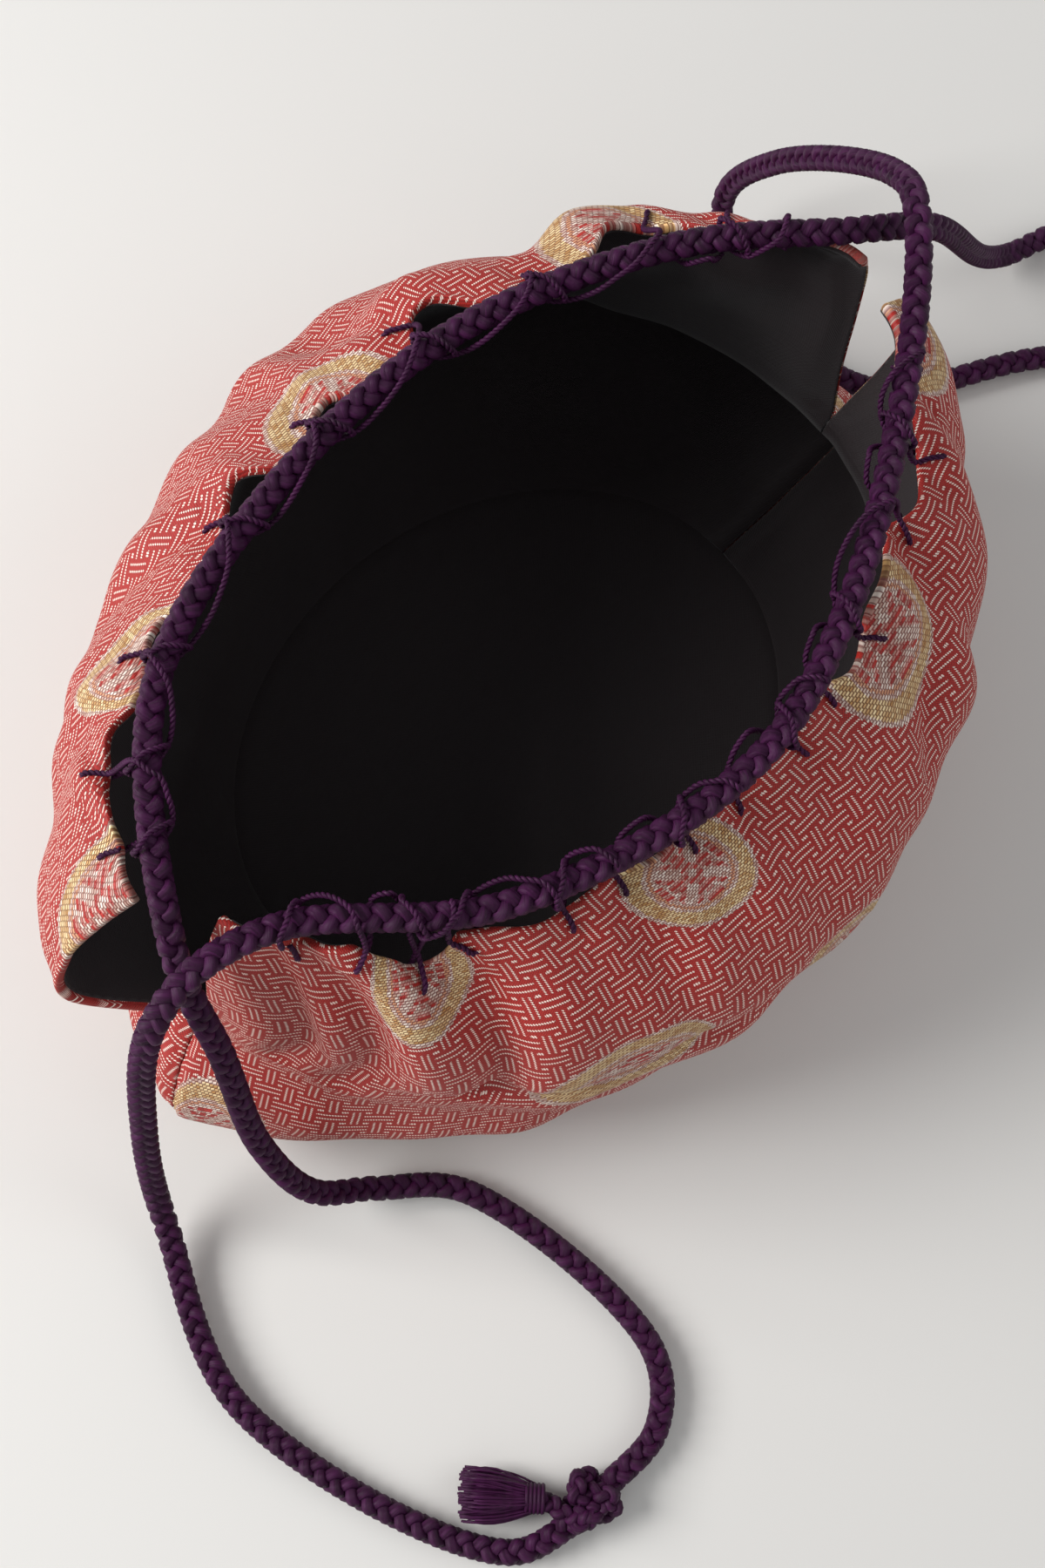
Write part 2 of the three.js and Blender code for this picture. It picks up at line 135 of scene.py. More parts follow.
def rail_frames(path: np.ndarray) -> tuple[np.ndarray, np.ndarray, np.ndarray]:
    """Carry a frame along a path without twisting it.

    Args:
        path: Points along the path, one a row.

    Returns:
        The tangent, the side and the third direction at each point.
    """
    tangent = unit(np.gradient(path, axis=0))
    side = np.cross(tangent[0], (0.0, 0.0, 1.0))
    if np.linalg.norm(side) < 0.1:
        side = np.cross(tangent[0], (1.0, 0.0, 0.0))
    sides = [side / np.linalg.norm(side)]
    for direction in tangent[1:]:
        turned = sides[-1] - direction * sides[-1].dot(direction)
        sides.append(turned / np.linalg.norm(turned))
    across = np.array(sides)
    return tangent, across, np.cross(tangent, across)


def face_up(path: np.ndarray) -> tuple[np.ndarray, np.ndarray]:
    """Turn a cord's frame so that the same face looks towards the photograph's camera.

    Args:
        path: Points along the cord in millimetres, one a row.

    Returns:
        The direction that the face looks in, and the one across it, at each point.
    """
    tangent = unit(np.gradient(path, axis=0))
    view = View()
    wish = unit(np.array(view.target) + np.array(view.directions()[2]) * view.distance - path)
    face = unit(wish - tangent * (wish * tangent).sum(axis=1, keepdims=True))
    return face, np.cross(tangent, face)


class BodyName(Enum):
    """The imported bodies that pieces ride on."""

    POUCH = "root"


class Slot(Enum):
    """The record's material slots."""

    BROCADE = "brocade"
    LINING = "lining"
    CORD = "cord"
    THREAD = "thread"


@dataclass
class MeshParts:
    """Points, faces and pattern coordinates of one piece, gathered before its mesh is made."""

    points: list[np.ndarray] = field(default_factory=list)
    faces: list[list[int]] = field(default_factory=list)
    pattern: list[np.ndarray] = field(default_factory=list)
    extra: list[np.ndarray] = field(default_factory=list)
    count: int = 0

    def add(
        self, points: np.ndarray, faces: list, pattern: np.ndarray, extra: np.ndarray | None = None
    ) -> None:
        """Add a part.

        Args:
            points: Its points in millimetres, one a row.
            faces: Its faces, as lists of its own point numbers.
            pattern: The pattern coordinates of each point, in millimetres.
            extra: A second pair of pattern coordinates of each point.
        """
        first = self.count
        self.points.append(points)
        self.faces.extend([[first + corner for corner in face] for face in faces])
        self.pattern.append(pattern)
        self.extra.append(pattern if extra is None else extra)
        self.count += len(points)

    def finish(self, name: str) -> bpy.types.Object:
        """Make the piece's object, at the origin and smooth shaded, with its faces as they were added.

        Args:
            name: The piece's name.

        Returns:
            The new object.
        """
        mesh = bpy.data.meshes.new(name)
        points = np.vstack(self.points) * MM
        mesh.from_pydata(points.tolist(), [], self.faces)
        corners = np.empty(len(mesh.loops), int)
        mesh.loops.foreach_get("vertex_index", corners)
        for layer, values in (("Cloth", self.pattern), ("Medallion", self.extra)):
            uv = mesh.uv_layers.new(name=layer)
            places = (np.vstack(values)[corners] / PATTERN_UNIT).astype(np.float32)
            uv.data.foreach_set("uv", places.ravel())
        mesh.update()
        mesh.shade_smooth()
        piece = bpy.data.objects.new(name, mesh)
        bpy.context.scene.collection.objects.link(piece)
        return piece


def stand_for(piece: bpy.types.Object, slot: Slot, *nodes: str) -> bpy.types.Object:
    """Let a finished piece ride on the pouch and stand for its CAD nodes, whose solids it hides.

    Args:
        piece: The finished piece.
        slot: The piece's material slot. Not used.
        nodes: The CAD nodes that it stands for.

    Returns:
        The same piece.
    """
    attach(piece, BodyName.POUCH.value)
    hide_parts(*nodes)
    LOG.info("%s: %d faces", piece.name, len(piece.data.polygons))
    return piece


# ---------------------------------------------------------------- materials


def tone(code: str) -> tuple[float, float, float, float]:
    """Turn a written colour such as b23a2e into the numbers that a socket takes."""
    parts = [int(code[k:k + 2], 16) / 255 for k in (0, 2, 4)]
    return (*[p / 12.92 if p <= 0.04045 else ((p + 0.055) / 1.055) ** 2.4 for p in parts], 1.0)


class Value:
    """A number worked out by one node's output, with the usual arithmetic."""

    def __init__(self, graph: "Graph", socket: bpy.types.NodeSocket) -> None:
        """Hold the graph and the output socket."""
        self.graph = graph
        self.socket = socket

    def _with(self, operation: str, *others: "Value | float") -> "Value":
        """Join this value and others by one Math node."""
        return self.graph.math(operation, self, *others)

    def __add__(self, other: "Value | float") -> "Value":
        """Sum."""
        return self._with("ADD", other)

    __radd__ = __add__

    def __sub__(self, other: "Value | float") -> "Value":
        """Difference."""
        return self._with("SUBTRACT", other)

    def __rsub__(self, other: float) -> "Value":
        """Difference from a plain number."""
        return self.graph.math("SUBTRACT", other, self)

    def __mul__(self, other: "Value | float") -> "Value":
        """Product."""
        return self._with("MULTIPLY", other)

    __rmul__ = __mul__

    def __truediv__(self, other: "Value | float") -> "Value":
        """Quotient."""
        return self._with("DIVIDE", other)

    def __abs__(self) -> "Value":
        """Size without sign."""
        return self._with("ABSOLUTE")

    def high(self, other: "Value | float") -> "Value":
        """The larger of two."""
        return self._with("MAXIMUM", other)

    def low(self, other: "Value | float") -> "Value":
        """The smaller of two."""
        return self._with("MINIMUM", other)

    def sine(self) -> "Value":
        """Sine."""
        return self._with("SINE")

    def floor(self) -> "Value":
        """The nearest lower whole number."""
        return self._with("FLOOR")

    def stepped(self, size: float) -> "Value":
        """The nearest lower multiple of a size, moved to the middle of its step."""
        return self._with("SNAP", size) + size / 2

    def wrapped(self, period: float) -> "Value":
        """Fold into the range from minus half a period to plus half a period."""
        return self._with("WRAP", period / 2, -period / 2)

    def rise(self, low: float, high: float) -> "Value":
        """Rise smoothly from 0 at low to 1 at high, or fall where high is below low."""
        span = {"interpolation_type": "SMOOTHSTEP", "clamp": True}
        node = self.graph.node("ShaderNodeMapRange", span, {0: self, 1: low, 2: high, 3: 0.0, 4: 1.0})
        return Value(self.graph, node.outputs[0])

    def within(self, reach: float, soft: float) -> "Value":
        """1 where this value is closer to 0 than reach, with a soft edge."""
        return 1 - abs(self).rise(reach - soft, reach + soft)


class Graph:
    """The nodes of one material."""

    def __init__(self, name: str) -> None:
        """Start an empty material with its surface shader."""
        self.material = bpy.data.materials.new(name)
        self.material.use_nodes = True
        self.tree = self.material.node_tree
        self.tree.nodes.clear()
        self.surface = self.node("ShaderNodeBsdfPrincipled", {}, {})
        output = self.node("ShaderNodeOutputMaterial", {}, {})
        self.tree.links.new(self.surface.outputs[0], output.inputs[0])

    def node(self, kind: str, settings: dict, inputs: dict) -> bpy.types.Node:
        """Make a node.

        Args:
            kind: The node's type name.
            settings: Its properties by name.
            inputs: Its inputs by name or number, as plain values, Values or sockets.

        Returns:
            The new node.
        """
        made = self.tree.nodes.new(kind)
        for key, value in settings.items():
            setattr(made, key, value)
        for key, value in inputs.items():
            self.feed(made.inputs[key], value)
        return made

    def feed(self, socket: bpy.types.NodeSocket, value: object) -> None:
        """Set a socket.

        Args:
            socket: The input socket.
            value: What it takes: a Value or another node's socket, which it is linked to, or a
                plain value.
        """
        if isinstance(value, Value):
            self.tree.links.new(value.socket, socket)
        elif isinstance(value, bpy.types.NodeSocket):
            self.tree.links.new(value, socket)
        else:
            socket.default_value = value

    def math(self, operation: str, *parts: Value | float) -> Value:
        """Join values by one Math node."""
        made = self.node("ShaderNodeMath", {"operation": operation}, dict(enumerate(parts)))
        return Value(self, made.outputs[0])

    def mix(self, share: Value | float, first: object, second: object) -> bpy.types.NodeSocket:
        """Blend two colours, from the first at 0 to the second at 1."""
        made = self.node("ShaderNodeMix", {"data_type": "RGBA"}, {0: share, 6: first, 7: second})
        return made.outputs[2]

    def tones(self, share: Value | float, pair: tuple[str, str]) -> bpy.types.NodeSocket:
        """Blend two written colours."""
        return self.mix(share, tone(pair[0]), tone(pair[1]))

    def uv(self, layer: str) -> tuple[Value, Value]:
        """Read a pattern layer in millimetres."""
        made = self.node("ShaderNodeUVMap", {"uv_map": layer}, {})
        parts = self.node("ShaderNodeSeparateXYZ", {}, {0: made.outputs[0]})
        return Value(self, parts.outputs[0]) * PATTERN_UNIT, Value(self, parts.outputs[1]) * PATTERN_UNIT

    def point(self, x: Value | float, y: Value | float, z: Value | float = 0.0) -> bpy.types.NodeSocket:
        """Join three values into one vector."""
        return self.node("ShaderNodeCombineXYZ", {}, {0: x, 1: y, 2: z}).outputs[0]

    def noise(self, place: bpy.types.NodeSocket, scale: float, detail: float = 2.0) -> Value:
        """Soft noise from 0 to 1 at a place."""
        made = self.node("ShaderNodeTexNoise", {}, {"Vector": place, "Scale": scale, "Detail": detail})
        return Value(self, made.outputs[0])

    def relief(self, height: Value, depth: float) -> None:
        """Give the surface its relief, from a height of 0 to 1 and its depth in metres."""
        made = self.node("ShaderNodeBump", {}, {"Strength": 1.0, "Distance": depth, "Height": height})
        self.tree.links.new(made.outputs[0], self.surface.inputs["Normal"])

    def finish(self, settings: dict) -> bpy.types.Material:
        """Set the surface's sockets and hand over the material.

        Args:
            settings: What each named socket of the surface shader takes.

        Returns:
            The finished material.
        """
        for key, value in settings.items():
            self.feed(self.surface.inputs[key], value)
        return self.material


@dataclass(frozen=True)
class BrocadeFinish:
    """Red silk brocade: a wickerwork ground in pale weft floats, and gold woven roundels."""

    wicker_width: float = 8.3
    wicker_height: float = 7.8
    bar_half: float = 0.15
    bar_edge: float = 0.17
    bar_tip: float = 0.1
    long_row: float = 0.63
    long_half: float = 2.65
    short_row: float = 1.86
    short_place: float = 2.1
    short_half: float = 0.55
    upright_place: float = 0.56
    upright_half: float = 2.15
    bead: float = 0.47
    dash_width: float = 0.94
    dash_height: float = 0.47
    roundel_width: float = 54.0
    roundel_height: float = 84.0
    rings: tuple[float, float, float, float] = (7.2, 8.6, 11.4, 12.2)
    crisp: float = 0.06
    pick: float = 1.41
    ground: tuple[str, str] = ("5c0709", "c8281f")
    floats: tuple[str, str] = ("f4c8b6", "fff4ea")
    behind: tuple[str, str] = ("7a3a34", "7c4a2a")
    silver: tuple[str, str] = ("bf9888", "fff0e2")
    gilt: tuple[str, str] = ("c08c4e", "ffe6b2")
    flower: tuple[str, str] = ("7a0c0c", "cc3026")
    outline: str = "d79a74"

    def block(self, x: Value, y: Value) -> tuple[Value, Value]:
        """One block of the wickerwork, with two long bars, four short ones and an upright pair.

        Args:
            x: Distance across from the block's middle.
            y: Distance up from it.

        Returns:
            1 on its level bars, and 1 on its upright ones.
        """
        half, edge, tip = self.bar_half, self.bar_edge, self.bar_tip
        long = (abs(y) - self.long_row).within(half, edge) * x.within(self.long_half, tip)
        short = (abs(x) - self.short_place).within(self.short_half, tip)
        short = (abs(y) - self.short_row).within(half, edge) * short
        upright = (abs(y) - self.wicker_height / 2).within(self.upright_half, tip)
        upright = (abs(x) - self.upright_place).within(half, edge) * upright
        return long.high(short), upright

    def wicker(self, u: Value, v: Value) -> Value:
        """The wickerwork ground: two sets of blocks half a repeat apart, in beaded floats."""
        wide, high = self.wicker_width, self.wicker_height
        level, upright = self.block(u.wrapped(wide), v.wrapped(high))
        more_level, more_upright = self.block((u + wide / 2).wrapped(wide), (v + high / 2).wrapped(high))
        turns = math.tau / self.bead
        teeth = ((u + v * 0.25) * turns).sine() * 0.42
        studs = ((v + u * 0.5) * turns).sine() * 0.5
        combs = (level.high(more_level) + teeth).rise(0.42, 0.72)
        return combs.high((upright.high(more_upright) + studs).rise(0.45, 0.8))

    def dashes(self, graph: Graph, u: Value, v: Value) -> tuple[Value, Value]:
        """Short weft floats laid like bricks.

        Args:
            graph: The material's nodes.
            u: Distance across.
            v: Distance up.

        Returns:
            1 on a float and 0 between floats, and a number of each float's own from 0 to 1.
        """
        row = (v / self.dash_height).floor()
        moved = u + row * self.dash_width * 0.37
        column = (moved / self.dash_width).floor()
        x = moved - (column + 0.5) * self.dash_width
        y = v - (row + 0.5) * self.dash_height - x * 0.12
        mask = x.within(self.dash_width * 0.4, 0.08) * y.within(self.dash_height * 0.33, 0.06)
        number = {"Vector": graph.point(column, row)}
        own = graph.node("ShaderNodeTexWhiteNoise", {"noise_dimensions": "2D"}, number)
        return mask, Value(graph, own.outputs["Value"])

    def roundel(self, graph: Graph, u: Value, v: Value) -> tuple[Value, Value, Value]:
        """The nearest roundel's own coordinates.

        Args:
            graph: The material's nodes.
            u: Roundel pattern coordinate across.
            v: Roundel pattern coordinate up.

        Returns:
            The distance from its middle, and the place across and up from it.
        """
        ax, ay = u.wrapped(self.roundel_width), v.wrapped(self.roundel_height)
        bx = (u + self.roundel_width / 2).wrapped(self.roundel_width)
        by = (v + self.roundel_height / 2).wrapped(self.roundel_height)
        a = graph.math("SQRT", ax * ax + ay * ay)
        b = graph.math("SQRT", bx * bx + by * by)
        nearer = graph.math("LESS_THAN", b, a)
        return a.low(b), ax + (bx - ax) * nearer, ay + (by - ay) * nearer

    def motif(self, distance: Value, x: Value, y: Value) -> Value:
        """A stepped flower of four leaves with side veins round a ring.

        Args:
            distance: Distance from the roundel's middle.
            x: Place across from it.
            y: Place up from it.

        Returns:
            1 where the flower is red.
        """
        far, near, crisp = abs(x).high(abs(y)), abs(x).low(abs(y)), self.crisp
        stem = near.within(0.75, crisp) * (far - 3.7).within(1.6, crisp)
        arms = (near - (far - 2.3)).within(0.85, crisp) * (far - 4.3).within(1.5, crisp)
        cap = (far - 6.2).within(0.7, crisp) * near.within(1.7, crisp)
        ring = (distance - 1.5).within(0.6, crisp)
        picks = (y * (math.tau / self.pick) + 0.5).sine().rise(-0.6, -0.4)
        return stem.high(arms).high(cap).high(ring) * picks

    def material(self) -> bpy.types.Material:
        """Make the brocade."""
        graph = Graph("silk brocade")
        u, v = graph.uv("Cloth")
        place = graph.point(u, v)
        drift = graph.noise(place, 0.09) - 0.5
        u, v = u + drift * 0.9, v + drift * 0.7
        turns = math.tau / self.bead
        grain = (u * turns).sine() * (v * turns).sine() * 0.5 + 0.5
        fleck = graph.noise(graph.point(u * 1.6, v * 1.6), 1.0, 3.0)
        wear = graph.noise(place, 0.05)
        bars = self.wicker(u, v)

        p, q = graph.uv("Medallion")
        dash, own = self.dashes(graph, p, q)
        distance, x, y = self.roundel(graph, p.stepped(self.bead), q.stepped(self.bead))
        thread_in, band_in, band_out, edge = self.rings
        step = 0.05
        inside = distance.rise(edge + step, edge - step)
        gold = distance.rise(band_in - step, band_in + step) * distance.rise(band_out + step, band_out - step)
        thin = (distance - (thread_in + 0.3)).within(0.3, step)
        red = self.motif(distance, x, y)

        ground = graph.tones(grain * 0.7 + fleck * 0.3, self.ground)
        cloth = graph.mix(bars, ground, graph.tones(fleck, self.floats))
        floats = graph.mix(gold, graph.tones(own, self.silver), graph.tones(own, self.gilt))
        floats = graph.mix(thin, floats, tone(self.outline))
        disc = graph.mix(dash * 0.85 + 0.1, graph.tones(gold, self.behind), floats)
        disc = graph.mix(red, disc, graph.tones(grain * 0.5 + own * 0.5, self.flower))
        colour = graph.mix(inside, cloth, disc)
        pale = bars * (1 - inside)
        height = pale * 0.6 + grain * (1 - inside) * 0.3 + inside * (dash * 0.6 + 0.3)
        graph.relief(height, 0.0002)
        return graph.finish({
            "Base Color": colour,
            "Roughness": 0.6 - pale * 0.14 - inside * dash * 0.2 + wear * 0.06,
            "Metallic": inside * gold * dash * 0.2,
            "Sheen Weight": 0.06,
            "Sheen Roughness": 0.4,
            "Sheen Tint": tone("ffb9a0"),
            "Specular IOR Level": 0.45,
        })


@dataclass(frozen=True)
class LiningFinish:
    """Dark plain-woven silk lining."""

    pick: float = 0.4
    shades: tuple[str, str] = ("0c0406", "200b11")

    def material(self) -> bpy.types.Material:
        """Make the lining."""
        graph = Graph("dark silk lining")
        u, v = graph.uv("Cloth")
        turns = math.tau / self.pick
        grain = (u * turns).sine() * (v * turns).sine() * 0.5 + 0.5
        slub = graph.noise(graph.point(u * 0.15, v * 2.2), 1.0)
        graph.relief(grain * 0.6 + slub * 0.4, 0.00012)
        return graph.finish({
            "Base Color": graph.tones(grain * 0.5 + slub * 0.5, self.shades),
            "Roughness": 0.55 + slub * 0.15,
            "Sheen Weight": 0.15,
            "Sheen Roughness": 0.5,
        })


@dataclass(frozen=True)
class SilkFinish:
    """Purple silk, with fibres that run along each strand."""

    name: str
    shades: tuple[str, str] = ("14040e", "4f184a")
    fibres: float = 9.0
    relief: float = 0.00012

    def material(self) -> bpy.types.Material:
        """Make the silk."""
        graph = Graph(self.name)
        u, v = graph.uv("Cloth")
        fibre = graph.noise(graph.point(u * self.fibres + v * 0.8, v * 0.35), 1.0, 3.0)
        mottle = graph.noise(graph.point(u * 0.2, v * 0.12), 1.0)
        graph.relief(fibre, self.relief)
        shade = fibre * 0.65 + mottle * 0.35
        return graph.finish({
            "Base Color": graph.tones(shade.rise(0.25, 0.75), self.shades),
            "Roughness": 0.42 + fibre * 0.16,
            "Sheen Weight": 0.03,
            "Sheen Roughness": 0.35,
            "Sheen Tint": tone("b05aa0"),
            "Specular IOR Level": 0.22,
        })


@dataclass(frozen=True)
class FloorFinish:
    """A plain pale tabletop."""

    def material(self) -> bpy.types.Material:
        """Make the tabletop."""
        graph = Graph("pale tabletop")
        return graph.finish({"Base Color": tone("dcdad6"), "Roughness": 0.7, "Specular IOR Level": 0.2})


# ---------------------------------------------------------------- camera, floor and light


@dataclass(frozen=True)
class View:
    """The photograph's camera, in millimetres and degrees."""

    target: tuple[float, float, float] = (-4.0, -8.5, 0.0)
    distance: float = 442.0
    azimuth: float = -53.0
    elevation: float = 76.0
    roll: float = 11.0
    lens: float = 50.0
    sensor: float = 36.0

    def directions(self) -> tuple[Vector, Vector, Vector]:
        """Work out how the camera is turned.

        Returns:
            Its right, up and backward directions.
        """
        a, e, r = (math.radians(x) for x in (self.azimuth, self.elevation, self.roll))
        back = Vector((math.sin(a) * math.cos(e), -math.cos(a) * math.cos(e), math.sin(e)))
        right = Vector((math.cos(a), math.sin(a), 0))
        up = back.cross(right)
        return (
            math.cos(r) * right + math.sin(r) * up,
            math.cos(r) * up - math.sin(r) * right,
            back,
        )

    def build(self) -> bpy.types.Object:
        """Make the camera and let the scene use it."""
        right, up, back = self.directions()
        lens = bpy.data.cameras.new("camera")
        lens.lens = self.lens
        lens.sensor_fit = "VERTICAL"
        lens.sensor_height = self.sensor
        lens.clip_start = 0.01
        camera = bpy.data.objects.new("camera", lens)
        place = (Vector(self.target) + back * self.distance) * MM
        turn = Matrix((right, up, back)).transposed().to_4x4()
        camera.matrix_world = Matrix.Translation(place) @ turn
        bpy.context.scene.collection.objects.link(camera)
        bpy.context.scene.camera = camera
        return camera


@dataclass(frozen=True)
class Studio:
    """A pale floor, a wide soft key light from the left of the view, and even fill."""

    key_watts: float = 12.0
    fill_watts: float = 2.5
    key_place: tuple[float, float, float] = (-0.62, 0.55, 0.62)
    fill_place: tuple[float, float, float] = (0.75, -0.7, 0.9)
    aim: tuple[float, float, float] = (0.0, 0.0, 0.05)
    world_colour: tuple[float, float, float, float] = (0.9, 0.92, 0.95, 1.0)
    world_strength: float = 0.45

    def lamp(self, name: str, place: tuple[float, float, float], size: float, watts: float) -> None:
        """Hang one square soft lamp that faces the pouch.

        Args:
            name: The lamp's name.
            place: Where it hangs, in metres.
            size: The length of its side, in metres.
            watts: Its power.
        """
        light = bpy.data.lights.new(name, "AREA")
        light.size = size
        light.energy = watts
        lamp = bpy.data.objects.new(name, light)
        lamp.location = place
        lamp.rotation_euler = (Vector(place) - Vector(self.aim)).to_track_quat("Z", "Y").to_euler()
        bpy.context.scene.collection.objects.link(lamp)

    def build(self) -> None:
        """Make the floor, the lamps and the surrounding light."""
        bpy.ops.object.select_all(action="DESELECT")
        bpy.ops.mesh.primitive_plane_add(size=6, location=(0, 0, 0))
        floor = bpy.context.object
        floor.name = "tabletop"
        floor.data.materials.append(FloorFinish().material())
        self.lamp("key", self.key_place, 0.55, self.key_watts)
        self.lamp("fill", self.fill_place, 0.9, self.fill_watts)
        world = bpy.data.worlds.new("studio")
        world.use_nodes = True
        backdrop = world.node_tree.nodes["Background"]
        backdrop.inputs[0].default_value = self.world_colour
        backdrop.inputs[1].default_value = self.world_strength
        scene = bpy.context.scene
        scene.world = world
        scene.view_settings.view_transform = "Standard"


# ---------------------------------------------------------------- cord


@dataclass
class Braid:
    """A round braid of four silk strands, two that wind each way."""

    diameter: float = 5.5
    pitch: float = 6.8
    steps_per_turn: int = 16
    sides: int = 7
    ring_share: float = 0.47
    weave_share: float = 0.26
    thick_share: float = 0.34
    wide_share: float = 0.43
    lay: float = 0.55

    def strands(self, path: np.ndarray, parts: MeshParts) -> None:
        """Lay the braid's strands along a path.

        Args:
            path: The braid's centreline in millimetres.
            parts: The piece that they are added to.
        """
        centre = evenly(path, self.pitch / self.steps_per_turn)
        side, third = face_up(centre)
        radius = self.diameter / 2
        gone = np.arange(len(centre)) * path_length(centre) / (len(centre) - 1)
        turn = gone * math.tau / self.pitch
        for way, start in ((1, 0.0), (1, math.pi), (-1, math.pi / 2), (-1, 1.5 * math.pi)):
            slower = self.lay / 2 * np.cos(2 * turn)
            angle = way * turn + slower + start
            swing = radius * (self.ring_share + way * self.weave_share * np.sin(2 * turn))
            outward = side * np.cos(angle)[:, None] + third * np.sin(angle)[:, None]
            strand = centre + outward * swing[:, None]
            self.tube(strand, outward, radius * self.thick_share, radius * self.wide_share, parts)

    def tube(
        self, line: np.ndarray, outward: np.ndarray, thick: float, wide: float, parts: MeshParts
    ) -> None:
        """Sweep a flattened ring along a line.

        Args:
            line: The strand's centreline.
            outward: The direction of its short axis at each point.
            thick: Half its thickness.
            wide: Half its width.
            parts: The piece that it is added to.
        """
        tangent = unit(np.gradient(line, axis=0))
        across = unit(np.cross(tangent, outward))
        lift = np.cross(across, tangent)
        angles = np.arange(self.sides) * math.tau / self.sides
        ring = (
            line[:, None]
            + lift[:, None] * (np.cos(angles) * thick)[None, :, None]
            + across[:, None] * (np.sin(angles) * wide)[None, :, None]
        )
        gone = np.arange(len(line)) * path_length(line) / (len(line) - 1)
        pattern = np.stack(np.broadcast_arrays(angles[None] * wide, gone[:, None]), axis=-1)
        parts.add(ring.reshape(-1, 3), tube_faces(len(line), self.sides), pattern.reshape(-1, 2))


def tube_faces(rings: int, sides: int) -> list[list[int]]:
    """Join the rings of a closed tube, whose points are numbered ring after ring.

    Args:
        rings: How many rings there are.
        sides: How many points a ring has.

    Returns:
        The faces of its wall, and then its two ends.
    """
    faces = []
    for ring in range(rings - 1):
        base = ring * sides
        for side in range(sides):
            after = (side + 1) % sides
            faces.append([base + side, base + after, base + sides + after, base + sides + side])
    last = (rings - 1) * sides
    return [*faces, list(range(sides))[::-1], list(range(last, last + sides))]


